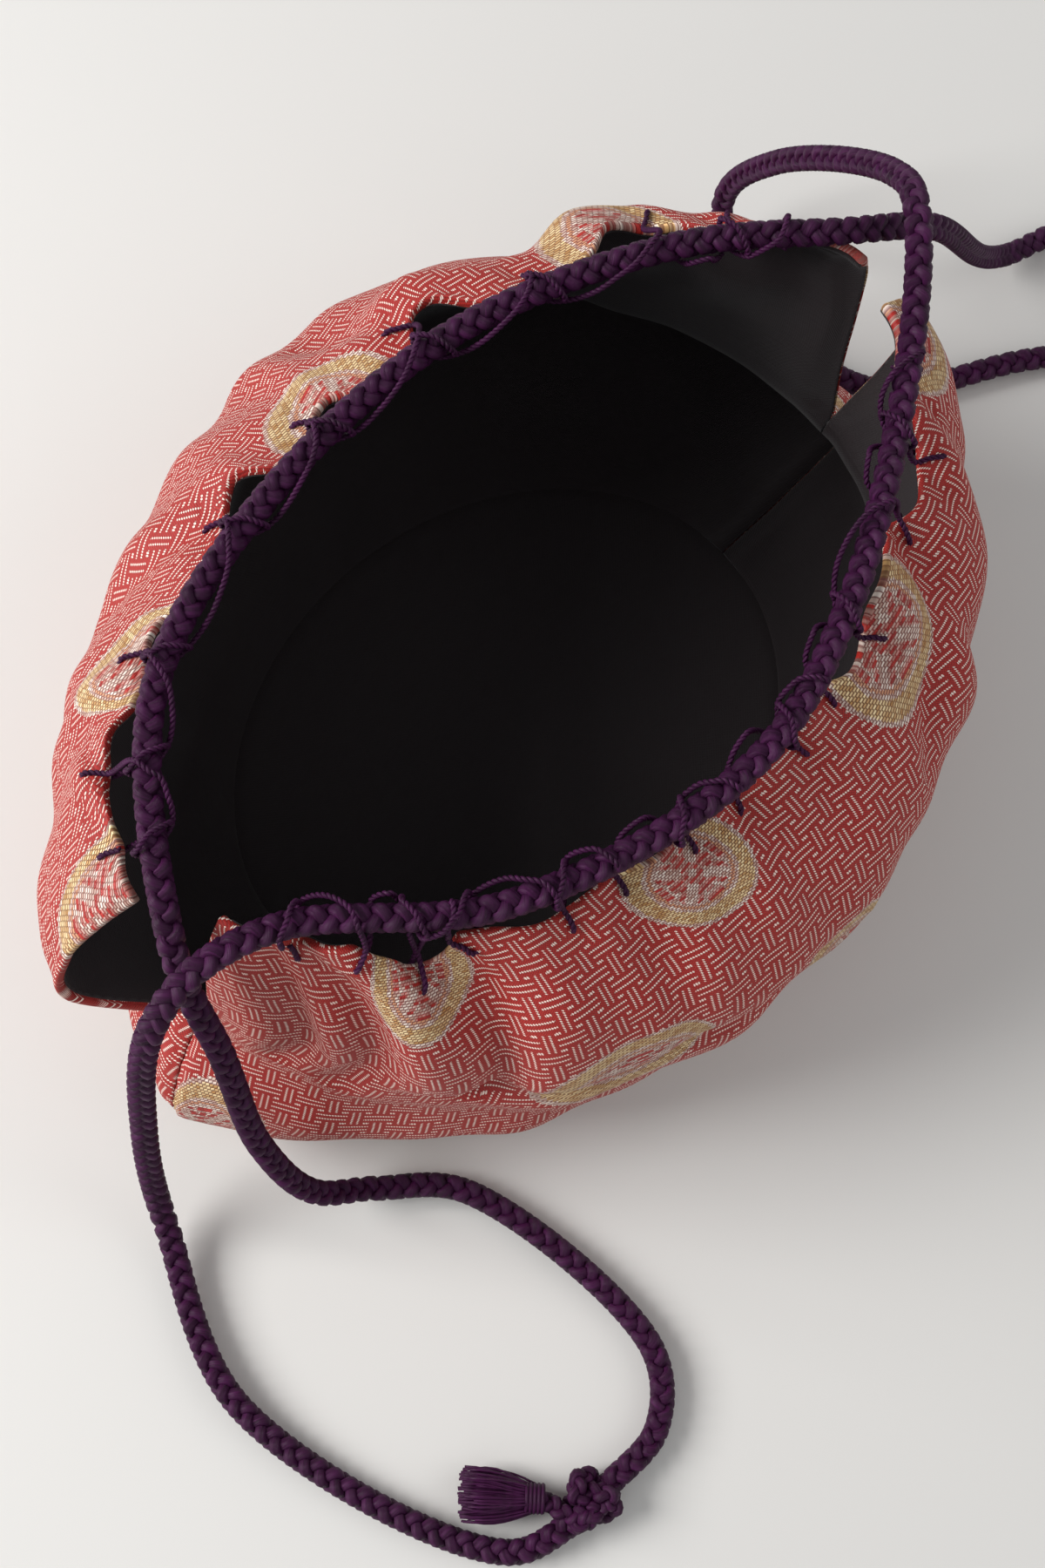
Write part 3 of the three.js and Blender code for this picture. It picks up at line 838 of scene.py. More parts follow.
@dataclass
class Drawcord:
    """The one braided cord, a ring that is knotted where its ends meet, with its knot and tassel."""

    diameter: float = 5.5
    knot_place: tuple[float, float, float] = (-88.0, -119.0, 4.7)
    tassel_place: tuple[float, float, float] = (-94.2, -112.9, 4.6)
    tassel_turn: float = 0.78
    tassel_length: float = 15.0
    hairs: int = 190
    hair_radius: float = 0.24
    binding_radius: float = 2.5
    binding_turns: int = 5
    knot_size: float = 1.5
    knot_turn: float = 0.6
    tail: tuple[tuple[float, float, float], ...] = (
        (-85.5, -121.0, 5.0), (-89.5, -120.5, 6.2), (-93.0, -117.5, 5.4), (-93.6, -114.6, 4.8),
        (-95.4, -111.9, 4.7),
    )
    route: tuple[tuple[float, float, float], ...] = (
        (-84.5, -119.4, 4.4), (-70, -118.3, 3.1), (-60.5, -107, 3.1), (-67, -61.5, 3.3),
        (-79.5, -49.5, 4.8), (-88.5, -43, 15), (-90.5, -32, 36), (-85.5, -19, 62.5),
        (-80, -3.5, 87), (-56.5, 28.2, 90.5), (-23.5, 41.3, 90.5), (20, 43.8, 90.5), (61.3, 30.6, 90.5),
        (86, 13.6, 89.5), (103, 8, 78.5), (151, 8, 6.6), (168.5, 3.3, 3.4), (178.3, -7.5, 3.1),
        (174, -20, 3.1), (161, -23.5, 3.1), (137, -10.5, 3.1), (109, 6, 3.1), (102.8, 33, 3.2),
        (104, 46, 6), (109, 54, 17), (109, 44.5, 45), (103, 17.5, 84.5), (94.5, 6.5, 96),
        (77.5, -10.5, 91), (37.5, -36, 90.5), (7.5, -44.5, 90.5), (-37, -35, 90.5),
        (-65.5, -14, 90.5), (-79.5, -10.5, 91.5), (-90, -11, 84), (-103.5, -16.5, 42.5),
        (-113.5, -28.5, 7.5), (-125, -62, 3.7), (-105.5, -115.5, 3.3), (-91.5, -120.2, 4.4),
    )

    def centreline(self) -> np.ndarray:
        """The cord's centreline, in millimetres."""
        return evenly(smooth_path(np.array(self.route, float)), 1.0)

    def build(self) -> tuple[bpy.types.Object, bpy.types.Object, bpy.types.Object]:
        """Make the cord, its knot and its tassel.

        Returns:
            The three pieces.
        """
        silk = SilkFinish("purple braid").material()
        line = self.centreline()
        parts = MeshParts()
        Braid(self.diameter).strands(line, parts)
        cord = stand_for(parts.finish("drawcord_braid"), Slot.CORD, "drawcord")
        cord.data.materials.append(silk)
        knot, tassel = self.knot(), self.tassel()
        for piece in (knot, tassel):
            piece.data.materials.append(silk)
        self.diameter * MM
        return cord, knot, tassel

    def knot(self) -> bpy.types.Object:
        """Tie the two ends: a tight overhand turn of the same braid, and the short tail."""
        t = np.linspace(0, math.tau, 120)
        loop = np.stack([
            np.sin(t) + 2 * np.sin(2 * t),
            np.cos(t) - 2 * np.cos(2 * t),
            -1.25 * np.sin(3 * t),
        ], axis=1) * self.knot_size
        c, s = math.cos(self.knot_turn), math.sin(self.knot_turn)
        turn = np.array([[c, -s, 0], [s, c, 0], [0, 0, 1]])
        parts = MeshParts()
        Braid(4.4, pitch=5.6).strands(loop @ turn.T + np.array(self.knot_place), parts)
        Braid(4.2, pitch=5.4).strands(smooth_path(np.array(self.tail)), parts)
        return stand_for(parts.finish("drawcord_knot"), Slot.CORD, "cord_knot")

    def tassel(self) -> bpy.types.Object:
        """Bind the tail's end and let its silk spread into a soft brush."""
        rng = np.random.default_rng(7)
        way = np.array([-math.sin(self.tassel_turn), math.cos(self.tassel_turn), 0.0])
        side = np.array([way[1], -way[0], 0.0])
        up = np.array([0.0, 0.0, 1.0])
        start = np.array(self.tassel_place)
        parts = MeshParts()
        rope = Braid(sides=5)
        along = np.linspace(0, 1, 8)
        for hair in range(self.hairs):
            angle = rng.uniform(0, math.tau)
            spread = math.sqrt(rng.uniform(0.02, 1))
            length = self.tassel_length * rng.uniform(0.82, 1.06)
            flare = 2.0 + 3.1 * np.sin(along * 1.75) ** 1.2
            wave = rng.uniform(-0.35, 0.35, 2)[:, None] * np.sin(along * rng.uniform(3, 7))[None]
            across = spread * flare * math.cos(angle) + wave[0]
            height = spread * flare * math.sin(angle) * 0.86 + wave[1] - 0.35 * along**2
            line = (
                start
                + way * (along * length)[:, None]
                + side * across[:, None]
                + up * np.maximum(height, 0.45 - start[2])[:, None]
            )
            _, outward, _ = rail_frames(line)
            rope.tube(line, outward, self.hair_radius, self.hair_radius, parts)
        angles = np.linspace(0, math.tau, 25)
        round_x, round_z = np.cos(angles) * self.binding_radius, np.sin(angles) * self.binding_radius
        for turn in range(self.binding_turns):
            place = start + way * (0.1 + 0.75 * turn)
            ring = place + side * round_x[:, None] + up * round_z[:, None]
            rope.tube(ring, unit(ring - place), 0.42, 0.42, parts)
        return stand_for(parts.finish("drawcord_tassel"), Slot.CORD, "cord_tassel")


# ---------------------------------------------------------------- cloth


@dataclass(frozen=True)
class Level:
    """One level of a panel: height, ends in plan, depth of its middle, roundness, lean to the right."""

    height: float
    left: tuple[float, float]
    right: tuple[float, float]
    depth: float
    round: float
    lean: float = 0.0


@dataclass(frozen=True)
class Scallop:
    """A scallop of the mouth: place along X, swing outwards, dip of the edge, half width."""

    x: float
    swing: float
    dip: float
    width: float


@dataclass(frozen=True)
class Crease:
    """A soft fold in a panel: where it starts and ends across and up, how deep, how wide."""

    start: tuple[float, float]
    end: tuple[float, float]
    depth: float
    width: float


def seam_levels(depths: tuple[float, ...], lean: float = 0.0) -> list[Level]:
    """Set the levels from the base to the bottom of the slits, whose ends both panels share.

    Args:
        depths: How far out the panel's middle stands at each level.
        lean: How far its belly leans to the right, as a share of the depth.

    Returns:
        The five levels.
    """
    return [
        Level(0, (-60, 0), (60, 0), depths[0], 1),
        Level(3, (-77, -2), (77, 0), depths[1], 0.8, lean / 2),
        Level(13, (-98, -13), (97.5, 0), depths[2], 0.2, lean),
        Level(26, (-94.5, -11), (94.5, 0), depths[3], 0.1, lean),
        Level(SLIT_HEIGHT, (-84, -7), (81, -1), depths[4], 0.1, lean),
    ]


@dataclass(frozen=True)
class Layer:
    """One layer of cloth: how deep its faces lie, its cells, how far its edges stay back as a share."""

    outer: float
    inner: float
    columns: int
    rows: int
    inset: float


@dataclass
class Panel:
    """One of the two body panels, from the base up to the gathered mouth."""

    name: str
    side: int
    levels: list[Level]
    scallops: list[Scallop]
    creases: list[Crease]
    stitches: list[float]
    roundels: list[tuple[tuple[float, float], tuple[float, float]]]
    seed: int
    brocade: Layer = Layer(0.0, 1.1, 300, 132, 0.0)
    lining: Layer = Layer(1.25, 2.1, 150, 64, 0.012)
    lattice_start: tuple[float, float] = (-16.0, 113.0)
    slit_share: float = 0.5
    scallop_fade: float = 0.5
    dip_fade: float = 0.6
    wrinkles: int = 26
    wrinkle_height: float = 0.13
    roundel_reach: float = 42.0
    flat: tuple[float, float] = (0.262, 0.122)

    def section(self, up: np.ndarray) -> dict[str, np.ndarray]:
        """Read the panel's section.

        Args:
            up: Shares of the panel's height.

        Returns:
            The section's height, depth, roundness, lean and ends there, by name.
        """
        split = [k.height for k in self.levels].index(SLIT_HEIGHT)

        def end(pick: str, axis: int) -> np.ndarray:
            """Read one end of the section, by one curve below the slits and another above."""
            values = [getattr(k, pick)[axis] for k in self.levels]
            low = curve_value(values[:split + 1], up / self.slit_share)
            high = curve_value(values[split:], (up - self.slit_share) / (1 - self.slit_share))
            return np.where(up <= self.slit_share, low, high)

        kinds = ("height", "depth", "round", "lean")
        read = {k: curve_value([getattr(n, k) for n in self.levels], up) for k in kinds}
        ends = {f"{k}_{'xy'[axis]}": end(k, axis) for k in ("left", "right") for axis in (0, 1)}
        return read | ends

    def form(self, across: np.ndarray, up: np.ndarray) -> np.ndarray:
        """The plain outer face, as the solids have it.

        Args:
            across: From -1 at the left end to 1 at the right end.
            up: From 0 at the base to 1 at the mouth.

        Returns:
            Points in millimetres.
        """
        across, up = np.broadcast_arrays(np.asarray(across, float), np.asarray(up, float))
        s = self.section(up)
        share = 0.75 * np.sin(across * math.pi / 2) + 0.25 * across
        half = (s["right_x"] - s["left_x"]) / 2
        x = s["left_x"] + half * (1 + share)
        seam = s["left_y"] + (s["right_y"] - s["left_y"]) * (1 + share) / 2
        depth = s["depth"] - self.side * (s["left_y"] + s["right_y"]) / 2
        fade = (np.maximum(up - self.scallop_fade, 0) / (1 - self.scallop_fade)) ** 1.6
        dip_fade = (np.maximum(up - self.dip_fade, 0) / (1 - self.dip_fade)) ** 1.5
        swing, dip = np.zeros_like(x), np.zeros_like(x)
        for fold in self.scallops:
            strength = np.exp(-(np.abs((x - fold.x) / (fold.width * (1 + 1.3 * (1 - up)))) ** 3))
            swing += fold.swing * fade * strength
            dip += fold.dip * dip_fade * strength
        ellipse = np.sqrt(np.maximum(1 - share**2, 0))
        radius = (half**2 + depth**2) / (2 * depth)
        lens = (np.sqrt(np.maximum(radius**2 - (share * half) ** 2, 0)) - (radius - depth)) / depth
        fullness = s["round"] * ellipse + (1 - s["round"]) * np.maximum(lens, 0)
        out = (depth + swing) * (1 + s["lean"] * share) * fullness
        return np.stack([x, seam + self.side * (out + 0.15), s["height"] - dip], axis=-1)

    def inward(self, across: np.ndarray, up: np.ndarray) -> np.ndarray:
        """Find the way into the cloth, kept in the seam's plane at the ends and upwards at the base.

        Args:
            across: From -1 at the left end to 1 at the right end.
            up: From 0 at the base to 1 at the mouth.

        Returns:
            Directions of length 1.
        """
        step = 0.004
        right, left = np.minimum(across + step, 1), np.maximum(across - step, -1)
        above, below = np.minimum(up + step, 1), np.maximum(up - step, 0)
        along_x = self.form(right, up) - self.form(left, up)
        along_z = self.form(across, above) - self.form(across, below)
        way = unit(np.cross(along_x, along_z)) * self.side
        way[..., 1] *= 1 - smoothstep(np.abs(across), 0.8, 1)
        base = (1 - smoothstep(up, 0, 0.1))[..., None]
        return unit(way * (1 - base) + np.array([0, 0, 1.0]) * base)

    def cloth_lengths(self, up: np.ndarray, points: np.ndarray) -> np.ndarray:
        """Measure where each point lies in the cloth.

        Args:
            up: From 0 at the base to 1 at the mouth.
            points: The plain form's points.

        Returns:
            Millimetres of cloth, across from the middle and up from the base.
        """
        steps = np.linalg.norm(np.diff(points, axis=1), axis=2)
        rows = np.concatenate([np.zeros((len(points), 1)), np.cumsum(steps, axis=1)], axis=1)
        rows -= rows[:, [rows.shape[1] // 2]]
        widest = np.argmin(np.abs(up[:, 0] - 0.625))
        rise = np.linalg.norm(np.diff(points, axis=0), axis=2)
        climbs = np.concatenate([np.zeros((1, points.shape[1])), np.cumsum(rise, axis=0)], axis=0)
        return np.stack([0.5 * rows + 0.5 * rows[[widest]], climbs], axis=-1)

    def folds(self, cloth: np.ndarray, height: np.ndarray) -> np.ndarray:
        """How far the creases move the cloth out, at places in it and heights."""
        out = np.zeros_like(height)
        for crease in self.creases:
            start, end = np.array(crease.start), np.array(crease.end)
            place = np.stack([cloth[..., 0], height], axis=-1)
            along = np.clip(((place - start) @ (end - start)) / ((end - start) @ (end - start)), 0, 1)
            sideways = np.linalg.norm(place - start - along[..., None] * (end - start), axis=-1)
            fade = np.sin(along * math.pi) ** 0.5 + 0.05
            out += crease.depth * np.exp(-((sideways / crease.width) ** 2)) * fade
        return out

    def waves(self, across: np.ndarray, up: np.ndarray, cloth: np.ndarray) -> np.ndarray:
        """Faint wrinkles of random length and lean, which die out at the seams.

        Args:
            across: From -1 at the left end to 1 at the right end.
            up: From 0 at the base to 1 at the mouth.
            cloth: Where the points lie in the cloth.

        Returns:
            How far they move the cloth out.
        """
        rng = np.random.default_rng(self.seed)
        free = smoothstep(1 - np.abs(across), 0, 0.12) * smoothstep(up, 0.02, 0.15)
        out = np.zeros_like(up)
        for _ in range(self.wrinkles):
            angle = rng.normal(math.pi / 2, 0.5)
            length = rng.uniform(17, 46)
            phase = rng.uniform(0, math.tau)
            lean = cloth[..., 0] * math.sin(angle) + cloth[..., 1] * math.cos(angle)
            out += free * self.wrinkle_height * np.sin(lean * math.tau / length + phase)
        return out

    def gathers(self, x: np.ndarray, drop: np.ndarray) -> np.ndarray:
        """Small swells between the stitches of the mouth, and the dimple that each stitch pulls.

        Args:
            x: Places along X.
            drop: How far down the cloth they lie from the mouth's edge.

        Returns:
            How far they move the cloth out.
        """
        places = np.array([x.min() - 8, *self.stitches, x.max() + 8])
        between = np.interp(x, places, np.arange(len(places)))
        room = np.interp(x, (places[1:] + places[:-1]) / 2, np.diff(places))
        swell = np.clip(room / 16, 0.35, 1.1) * 0.8
        out = swell * (0.2 - np.cos(between * math.tau)) * np.exp(-((drop / 19) ** 1.3))
        for stitch in self.stitches:
            out -= 0.5 * bump(x, stitch, 2.2) * np.exp(-drop / 6)
            out -= 0.35 * bump(x, stitch, 1.1) * bump(drop, 5.0, 1.1)
        return out

    def seam_pull(self, across: np.ndarray, up: np.ndarray, height: np.ndarray) -> np.ndarray:
        """How far the side seams draw the cloth in below the slits: a groove with puckers beside it."""
        to_end = (1 - np.abs(across)) * HALF_CLOTH
        groove = 0.9 * np.exp(-((to_end / 1.6) ** 2))
        puckers = 0.35 * np.exp(-to_end / 4) * (0.5 + 0.5 * np.sin(height * 1.9))
        return (groove + puckers) * (1 - smoothstep(up, 0.47, 0.53))

    def relief(self, across: np.ndarray, up: np.ndarray, cloth: np.ndarray) -> np.ndarray:
        """Add up how far the real cloth stands out from the plain form.

        Args:
            across: From -1 at the left end to 1 at the right end.
            up: From 0 at the base to 1 at the mouth.
            cloth: Where the points lie in the cloth.

        Returns:
            The folds, wrinkles and gathers less the pull of the seams, in millimetres.
        """
        points = self.form(across, up)
        height = points[..., 2]
        drop = cloth[..., 1].max(axis=0)[None] - cloth[..., 1]
        out = self.folds(cloth, height) + self.waves(across, up, cloth) + self.gathers(points[..., 0], drop)
        return out - self.seam_pull(across, up, height)

    def hem(self, across: np.ndarray, up: np.ndarray, cloth: np.ndarray) -> np.ndarray:
        """Find the turned-in hem.

        Args:
            across: From -1 at the left end to 1 at the right end.
            up: From 0 at the base to 1 at the mouth.
            cloth: Where the points lie in the cloth.

        Returns:
            How much of the hem lies at each point, from 0 inside the cloth to 1 at its free edges.
        """
        drop = cloth[..., 1].max(axis=0)[None] - cloth[..., 1]
        to_slit = (1 - np.abs(across)) * HALF_CLOTH + 6 * (1 - smoothstep(up, 0.5, 0.54))
        return 1 - smoothstep(np.minimum(drop, to_slit), 1.2, 2.6)

    def faces_at(self, layer: Layer, depth: float) -> tuple[np.ndarray, np.ndarray, np.ndarray]:
        """Make one face of a layer of cloth.

        Args:
            layer: The layer.
            depth: How far the face lies under the panel's outer face.

        Returns:
            The face's points, its pattern coordinates, and the roundels' coordinates.
        """
        inset = layer.inset
        steps_up = np.linspace(0, 1 - inset * 0.6, layer.rows + 1)
        steps_across = np.linspace(-1, 1, layer.columns + 1)
        across, up = np.meshgrid(steps_across, steps_up)
        free = smoothstep(up, 0.5, 0.56)
        across = across * (1 - inset * 0.5 * free * (across < 0.5))
        plain = self.form(across, up)
        cloth = self.cloth_lengths(up, plain)
        way = self.inward(across, up)
        hem = self.hem(across, up, cloth)
        fine = hem * smoothstep(across, 0.5, 0.8) * (1 - smoothstep(up, 0.93, 0.97))
        turned = (hem - fine) * (-0.25 if depth == 0 else 0.55) * (inset == 0)
        depth_here = depth * (1 - 0.62 * fine) + turned
        points = plain - way * (self.relief(across, up, cloth) - depth_here)[..., None]
        points[..., 2] = np.maximum(points[..., 2], depth * 0.9)
        return points, cloth, self.roundel_places(cloth)

    def roundel_places(self, cloth: np.ndarray) -> np.ndarray:
        """Bend the pattern so that each named roundel falls where it is seen.

        Args:
            cloth: Where the points lie in the cloth.

        Returns:
            Their places in the even lattice of roundels.
        """
        seen = np.array([pair[0] for pair in self.roundels], float)
        woven = np.array([pair[1] for pair in self.roundels], float)
        reach = self.roundel_reach
        spread = np.exp(-((seen[:, None] - seen[None]) ** 2).sum(-1) / reach**2)
        weights = np.linalg.solve(spread + 0.01 * np.eye(len(seen)), woven - seen)
        near = np.exp(-((cloth[..., None, :] - seen) ** 2).sum(-1) / reach**2)
        return cloth + near @ weights - np.array(self.lattice_start)

    def shell(self, name: str, layer: Layer) -> bpy.types.Object:
        """Make a closed sheet of cloth with rounded free edges.

        Args:
            name: The piece's name.
            layer: Its layer of cloth.

        Returns:
            The finished object.
        """
        rows, columns = layer.rows, layer.columns
        front, cloth, discs = self.faces_at(layer, layer.outer)
        back, _, _ = self.faces_at(layer, layer.inner)
        numbers = np.arange((rows + 1) * (columns + 1)).reshape(rows + 1, columns + 1)
        rim = np.concatenate([
            numbers[0, :-1], numbers[:-1, -1], numbers[-1, :0:-1], numbers[:0:-1, 0],
        ])
        corners = (numbers[:-1, :-1], numbers[:-1, 1:], numbers[1:, 1:], numbers[1:, :-1])
        quads = np.stack(corners, axis=-1).reshape(-1, 4)
        if self.side > 0:
            quads = quads[:, ::-1]
            rim = rim[::-1]
        flat_front, flat_back = front.reshape(-1, 3), back.reshape(-1, 3)
        count = len(flat_front)
        row_of, column_of = np.divmod(rim, columns + 1)
        inside_row = np.clip(row_of, 1, rows - 1)
        inside_column = np.clip(column_of, 1, columns - 1)
        outward = unit(flat_front[rim] - front[inside_row, inside_column])
        at_end = (column_of == 0) | (column_of == columns)
        free = (row_of == rows) | (at_end & (row_of > rows * (self.slit_share + 0.01)))
        reach = (layer.inner - layer.outer) / 2 * free
        rings, steps = [], 5
        for step in range(1, steps):
            angle = math.pi * step / steps
            share = (1 - math.cos(angle)) / 2
            bulge = outward * (reach * math.sin(angle))[:, None]
            rings.append(flat_front[rim] * (1 - share) + flat_back[rim] * share + bulge)
        parts = MeshParts()
        flat_cloth, flat_discs = cloth.reshape(-1, 2), discs.reshape(-1, 2)
        points = np.vstack([flat_front, flat_back, *rings])
        turned = [flat_cloth[rim] + [0, 0.3 * k] for k in range(1, steps)]
        pattern = np.vstack([flat_cloth, flat_cloth, *turned])
        extra = np.vstack([flat_discs, flat_discs, *[flat_discs[rim]] * (steps - 1)])
        between = [2 * count + np.arange(len(rim)) + k * len(rim) for k in range(steps - 1)]
        loops = [rim, *between, rim + count]
        faces = [*quads.tolist(), *(quads[:, ::-1] + count).tolist()]
        for first, second in zip(loops, loops[1:]):
            after_first, after_second = np.roll(first, -1), np.roll(second, -1)
            faces.extend(np.stack([after_first, first, second, after_second], axis=-1).tolist())
        parts.add(points, faces, pattern, extra)
        return parts.finish(name)

    def edge_at(
        self, face: np.ndarray, x: float, reach: float, search: int = 24
    ) -> tuple[np.ndarray, np.ndarray, np.ndarray, np.ndarray]:
        """Find one stitch's place at the mouth edge.

        Args:
            face: The points of the outer face, in rows from the base up to the mouth.
            x: The stitch's place along X, in millimetres.
            reach: How far down the cloth the stitch goes.
            search: How many rows its foot is looked for in.

        Returns:
            The edge's point, the stitch's foot, and the ways out of the cloth and along the edge.
        """
        column = int(np.argmin(np.abs(face[-1, :, 0] - x)))
        point = face[-1, column]
        beside = unit(face[-1, column + 2] - face[-1, column - 2])
        gap = face[-search:-1] - point
        off = np.abs(gap @ beside) + np.abs(np.linalg.norm(gap, axis=-1) - reach)
        row, column = np.unravel_index(np.argmin(off), off.shape)
        row += len(face) - search
        up = face[row + 1, column] - face[row - 1, column]
        out = unit(np.cross(face[row, column + 1] - face[row, column - 1], up)) * -self.side
        return point, face[row, column], out, beside

    def build(self, brocade: bpy.types.Material, lining: bpy.types.Material) -> None:
        """Make the panel's brocade and its lining."""
        layers = (
            (Slot.BROCADE, self.brocade, brocade),
            (Slot.LINING, self.lining, lining),
        )
        for slot, layer, finish in layers:
            piece = self.shell(f"{slot.value}_{self.name}", layer)
            piece.data.materials.append(finish)
            stand_for(piece, slot, f"{slot.value}_{self.name}_panel")


def near_panel() -> Panel:
    """The panel on the -Y side."""
    return Panel(
        name="near",
        side=-1,
        levels=[
            *seam_levels((48, 54.5, 60.5, 71, 73)),
            Level(56, (-81, -9), (89, -2.5), 75.3, 0.3),
            Level(70, (-78, -7.5), (92, -3), 68, 0.4),
            Level(80, (-75, -6.3), (90, -1.5), 55.5, 0.45),
            Level(85.5, (-72.5, -5.75), (84, 0), 45.5, 0.45),
        ],
        scallops=[
            Scallop(-61.5, -1.6, -2.2, 4.5), Scallop(-52.6, 3.4, 4.8, 4.7), Scallop(-43, -1.2, -0.4, 4.5),
            Scallop(-32, 1.2, 1.2, 5), Scallop(9, 0.6, 1.2, 5), Scallop(35.5, 2.6, 2.6, 5.5),
            Scallop(67, 6.5, 5.0, 7),
        ],
        creases=[
            Crease((-85, 50), (12, 57), -2.6, 3.8),
            Crease((-97, 86), (-101, 44), -3.2, 4.0),
            Crease((-82, 84), (-90, 44), -4.2, 4.5),
            Crease((-59, 84), (-66, 48), -4.0, 4.5),
            Crease((-71, 84), (-76, 58), 1.6, 5.5),
            Crease((-48, 86), (-50, 56), 1.2, 6.0),
            Crease((-31, 86), (-29, 56), -2.2, 5.0),
            Crease((-2, 86), (2, 58), -1.0, 5.0),
            Crease((68, 88), (28, 68), -2.4, 4.2),
            Crease((52, 82), (62, 52), -1.0, 3.6),
            Crease((84, 84), (92, 48), -1.6, 4.2),
            Crease((14, 60), (90, 36), -1.8, 4.5),
        ],
        stitches=[-66, -58.5, -53, -46, -30, -19.5, -7, 4, 17, 27, 39.5, 59, 70, 78.5],
        roundels=[
            ((-69, 113), (-70, 113)), ((-78, 115), (-82, 113)), ((-61, 111), (-58, 113)),
            ((-75, 101.5), (-70, 101)), ((-17.7, 106.5), (-16, 113)), ((38, 111.5), (38, 113)),
            ((103, 127), (92, 113)), ((-38, 75), (-43, 71)), ((8, 59), (11, 71)), ((-109, 43), (-97, 71)),
            ((-112, 108), (-107, 106)), ((-28.7, 106.5), (-28.2, 113)), ((-6.5, 106.5), (-3.8, 113)),
        ],
        seed=3,
    )


def far_panel() -> Panel:
    """The panel on the +Y side."""
    return Panel(
        name="far",
        side=1,
        levels=[
            *seam_levels((48, 61, 74.5, 75.3, 73), 0.22),
            Level(56, (-98.5, 6.5), (83, 2.5), 72, 0.1, 0.3),
            Level(70, (-94.5, 9), (86, 5.5), 64, 0.2, 0.15),
            Level(80, (-87, 7.5), (87.5, 7.5), 56, 0.8, 0.17),
            Level(85.5, (-80.5, 5.75), (87, 8.5), 47, 0.75, 0.03),
        ],
        scallops=[
            Scallop(-68.5, 8.5, 3.5, 6), Scallop(-50, 4.5, 2.0, 5), Scallop(-24, 7.5, 3.5, 6),
            Scallop(-2, 5.2, 2.0, 5), Scallop(23.5, 8, 3.5, 6), Scallop(62, 8.5, 3.5, 7.5),
        ],
        creases=[
            Crease((-60, 40), (60, 42), -1.3, 3.2),
            Crease((-30, 86), (-52, 64), -1.8, 4.0),
            Crease((-60, 86), (-74, 54), -1.2, 4.0),
            Crease((-8, 86), (4, 58), -1.4, 4.0),
            Crease((17, 86), (14, 62), -1.6, 4.5),
            Crease((40, 86), (36, 60), 0.8, 6.0),
            Crease((52, 86), (50, 64), -1.4, 4.2),
        ],
        stitches=[-77, -70, -53, -28, -5, 19, 40, 64.5, 73, 80],
        roundels=[
            ((-112, 134), (-114, 113)), ((-68, 116.5), (-60, 113)), ((-3.5, 114.5), (-6, 113)),
            ((65, 125), (48, 113)), ((116, 121), (102, 113)), ((-33, 64), (-33, 71)), ((24, 64), (21, 71)),
            ((-87, 66), (-87, 71)), ((80, 70), (75, 71)),
        ],
        lattice_start=(-6.0, 113.0),
        seed=11,
    )


@dataclass
class Base:
    """The flat oval foot of the pouch, in brocade outside and lining inside."""

    half_length: float = 59.7
    half_depth: float = 47.7
    sectors: int = 120
    rings: int = 22

    def disc(self, name: str, bottom: float, top: float, seam: float) -> bpy.types.Object:
        """An oval sheet with a rounded rim.

        Args:
            name: The piece's name.
            bottom: Height of its lower face.
            top: Height of its upper face.
            seam: How far its rim reaches into the seam.

        Returns:
            The finished object.
        """
        outwards = np.linspace(0, 0.99, self.rings)[1:]
        shares = np.concatenate([outwards, [1.0], [1.0], np.linspace(0.99, 0, self.rings)[:-1]])
        middle = (bottom + top) / 2
        heights = np.where(np.arange(len(shares)) < self.rings, bottom, top)
        rounded = (bottom + (middle - bottom) * 0.5, top - (top - middle) * 0.5)
        heights[self.rings - 1:self.rings + 1] = rounded
        angles = np.arange(self.sectors) * math.tau / self.sectors
        rows = [
            np.stack([
                (self.half_length + seam) * share * np.cos(angles),
                (self.half_depth + seam) * share * np.sin(angles),
                np.full(self.sectors, height),
            ], axis=1)
            for share, height in zip(shares, heights)
        ]
        points = np.vstack([*rows, [[0, 0, bottom]], [[0, 0, top]]])
        faces = tube_faces(len(rows), self.sectors)[:-2]
        low, high, last = len(points) - 2, len(points) - 1, (len(rows) - 1) * self.sectors
        for sector in range(self.sectors):
            after = (sector + 1) % self.sectors
            faces.append([low, after, sector])
            faces.append([high, last + sector, last + after])
        parts = MeshParts()
        parts.add(points, faces, points[:, :2])
        return parts.finish(name)

    def build(self, brocade: bpy.types.Material, lining: bpy.types.Material) -> None:
        """Make both layers of the base."""
        layers = (
            (self.disc("brocade_foot", 0.0, 0.9, 0.0), brocade, Slot.BROCADE, "brocade_base"),
            (self.disc("lining_foot", 1.4, 2.2, 1.0), lining, Slot.LINING, "lining_base"),
        )
        for piece, finish, slot, node in layers:
            piece.data.materials.append(finish)
            stand_for(piece, slot, node)


# ---------------------------------------------------------------- thread


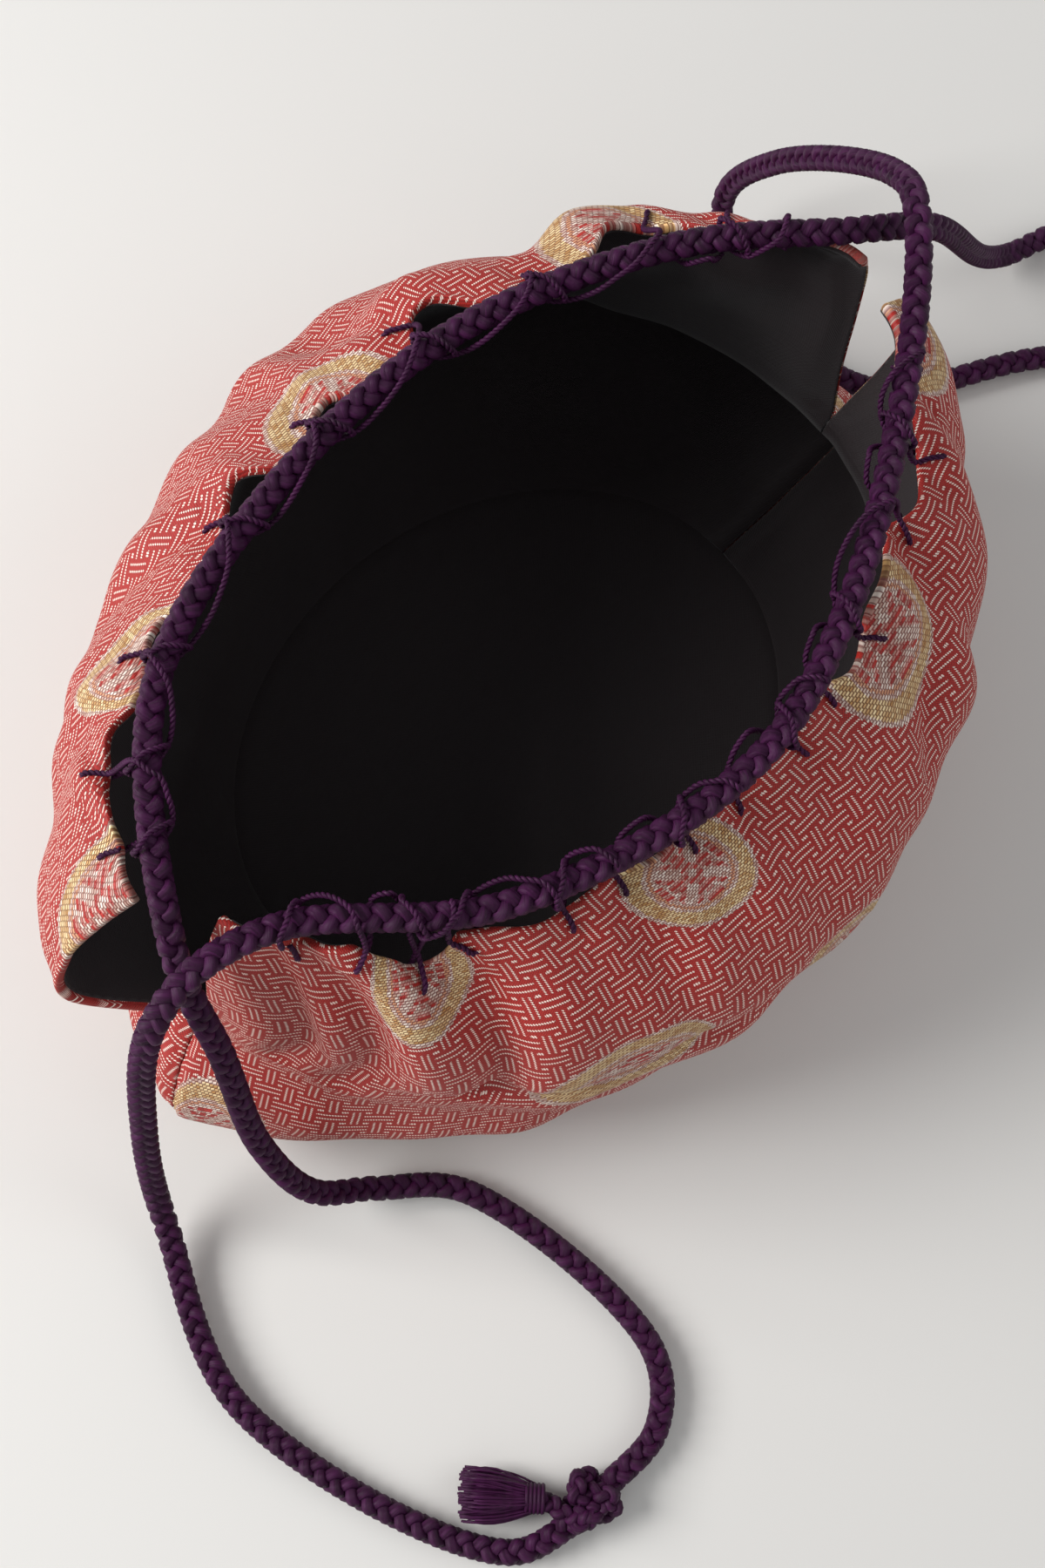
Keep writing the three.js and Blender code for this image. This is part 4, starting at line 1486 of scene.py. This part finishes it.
@dataclass
class ThreadLoops:
    """The twisted silk thread that ties a mouth edge to the cord, stitch by stitch."""

    panel: Panel
    cord: np.ndarray
    cord_radius: float = 2.75
    ply_radius: float = 0.3
    twist: float = 2.0
    reach: float = 4.0
    wrap: tuple[tuple[float, float], ...] = (
        (-0.9, 1.6), (0.1, 1.9), (0.9, 1.2), (1.6, -0.4), (2.4, -1.9), (3.2, -2.3), (4.1, -1.6), (5.0, -0.2),
    )
    over: tuple[tuple[float, float], ...] = (
        (-0.4, 0.18), (0.1, 0.34), (0.5, 0.5), (0.85, 0.66), (1.35, 0.8), (2.1, 0.91),
    )
    under: tuple[tuple[float, float], ...] = (
        (-0.5, 0.14), (-0.1, 0.3), (0.1, 0.5), (-0.3, 0.68), (-1.2, 0.82), (-2.1, 0.92),
    )

    def route(self) -> np.ndarray:
        """Lead the thread over the cord, down the outer face, through the cloth and up inside.

        Returns:
            Points along it in millimetres, one a row.
        """
        panel = self.panel
        rng = np.random.default_rng(panel.seed)
        face = panel.faces_at(panel.brocade, 0.0)[0]
        edges = [panel.edge_at(face, x, self.reach + rng.uniform(-0.8, 0.8)) for x in panel.stitches]
        nearest = [int(np.argmin(((self.cord - e[0]) ** 2).sum(axis=1))) for e in edges]
        points = []
        for stitch, (edge, foot, out, along) in enumerate(edges):
            down = unit(foot - edge)
            points.extend([
                edge - down * 1.2 + out * 0.9 - along * 0.4,
                edge * 0.65 + foot * 0.35 + out * 0.65,
                foot - down * 0.7 + out * 0.55,
                foot + down * 0.3 - out * 0.8,
                foot - out * 3.0 + along * 0.3,
                edge + down * 0.6 - out * 3.2 + along * 0.9,
            ])
            if stitch == len(edges) - 1:
                break
            here, span = nearest[stitch], nearest[stitch + 1] - nearest[stitch]
            heading = 1 if span > 0 else -1
            crossing = stitch % 2 == 0 or abs(span) > 15
            for angle, shift in self.wrap if crossing else ():
                points.append(self.round_cord(here + heading * shift, angle, 0.05, out))
            stand_off = rng.uniform(0.1, 1.1) * min(abs(span) / 14, 1.3)
            for angle, share in self.over if crossing else self.under:
                lift = stand_off * math.sin(math.pi * share) ** 2
                points.append(self.round_cord(here + span * share, angle, lift, out))
        return evenly(smooth_path(np.array(points)), self.twist / 10)

    def round_cord(self, place: float, angle: float, lift: float, out: np.ndarray) -> np.ndarray:
        """A point on the way round the cord.

        Args:
            place: Which sample of the cord's centreline it is at.
            angle: How far round it lies, from 0 at the inner side over a quarter turn at the top.
            lift: How far off the cord the thread stands there.
            out: The way out of the cloth nearby.

        Returns:
            The point in millimetres.
        """
        index = int(round(place))
        inward = unit(np.cross(self.cord[index + 1] - self.cord[index - 1], (0, 0, 1.0)))
        inward *= -1 if inward.dot(out) > 0 else 1
        reach = self.cord_radius + self.ply_radius * 1.7 + lift
        return self.cord[index] + reach * (inward * math.cos(angle) + np.array([0, 0, 1.0]) * math.sin(angle))

    def build(self) -> bpy.types.Object:
        """Make the thread from two plies twisted together."""
        line = self.route()
        _, side, third = rail_frames(line)
        turn = np.arange(len(line)) * (path_length(line) / (len(line) - 1)) * math.tau / self.twist
        parts = MeshParts()
        maker = Braid(sides=6)
        thick, wide = self.ply_radius, self.ply_radius * 1.1
        for start in (0.0, math.pi):
            outward = side * np.cos(turn + start)[:, None] + third * np.sin(turn + start)[:, None]
            maker.tube(line + outward * self.ply_radius * 0.82, outward, thick, wide, parts)
        piece = parts.finish(f"thread_{self.panel.name}")
        silk = SilkFinish(f"purple thread {self.panel.name}", fibres=14.0, relief=0.00006)
        piece.data.materials.append(silk.material())
        return stand_for(piece, Slot.THREAD, f"tsugari_{self.panel.name}")


def main() -> None:
    """Build the pouch piece by piece."""
    logging.basicConfig(level=logging.INFO, format="%(name)s: %(message)s")
    View().build()
    drawcord = Drawcord()
    drawcord.build()
    brocade, lining = BrocadeFinish().material(), LiningFinish().material()
    for panel in (near_panel(), far_panel()):
        panel.build(brocade, lining)
        ThreadLoops(panel, drawcord.centreline()).build()
    Base().build(brocade, lining)
    Studio().build()


if __name__ == "__main__":
    main()
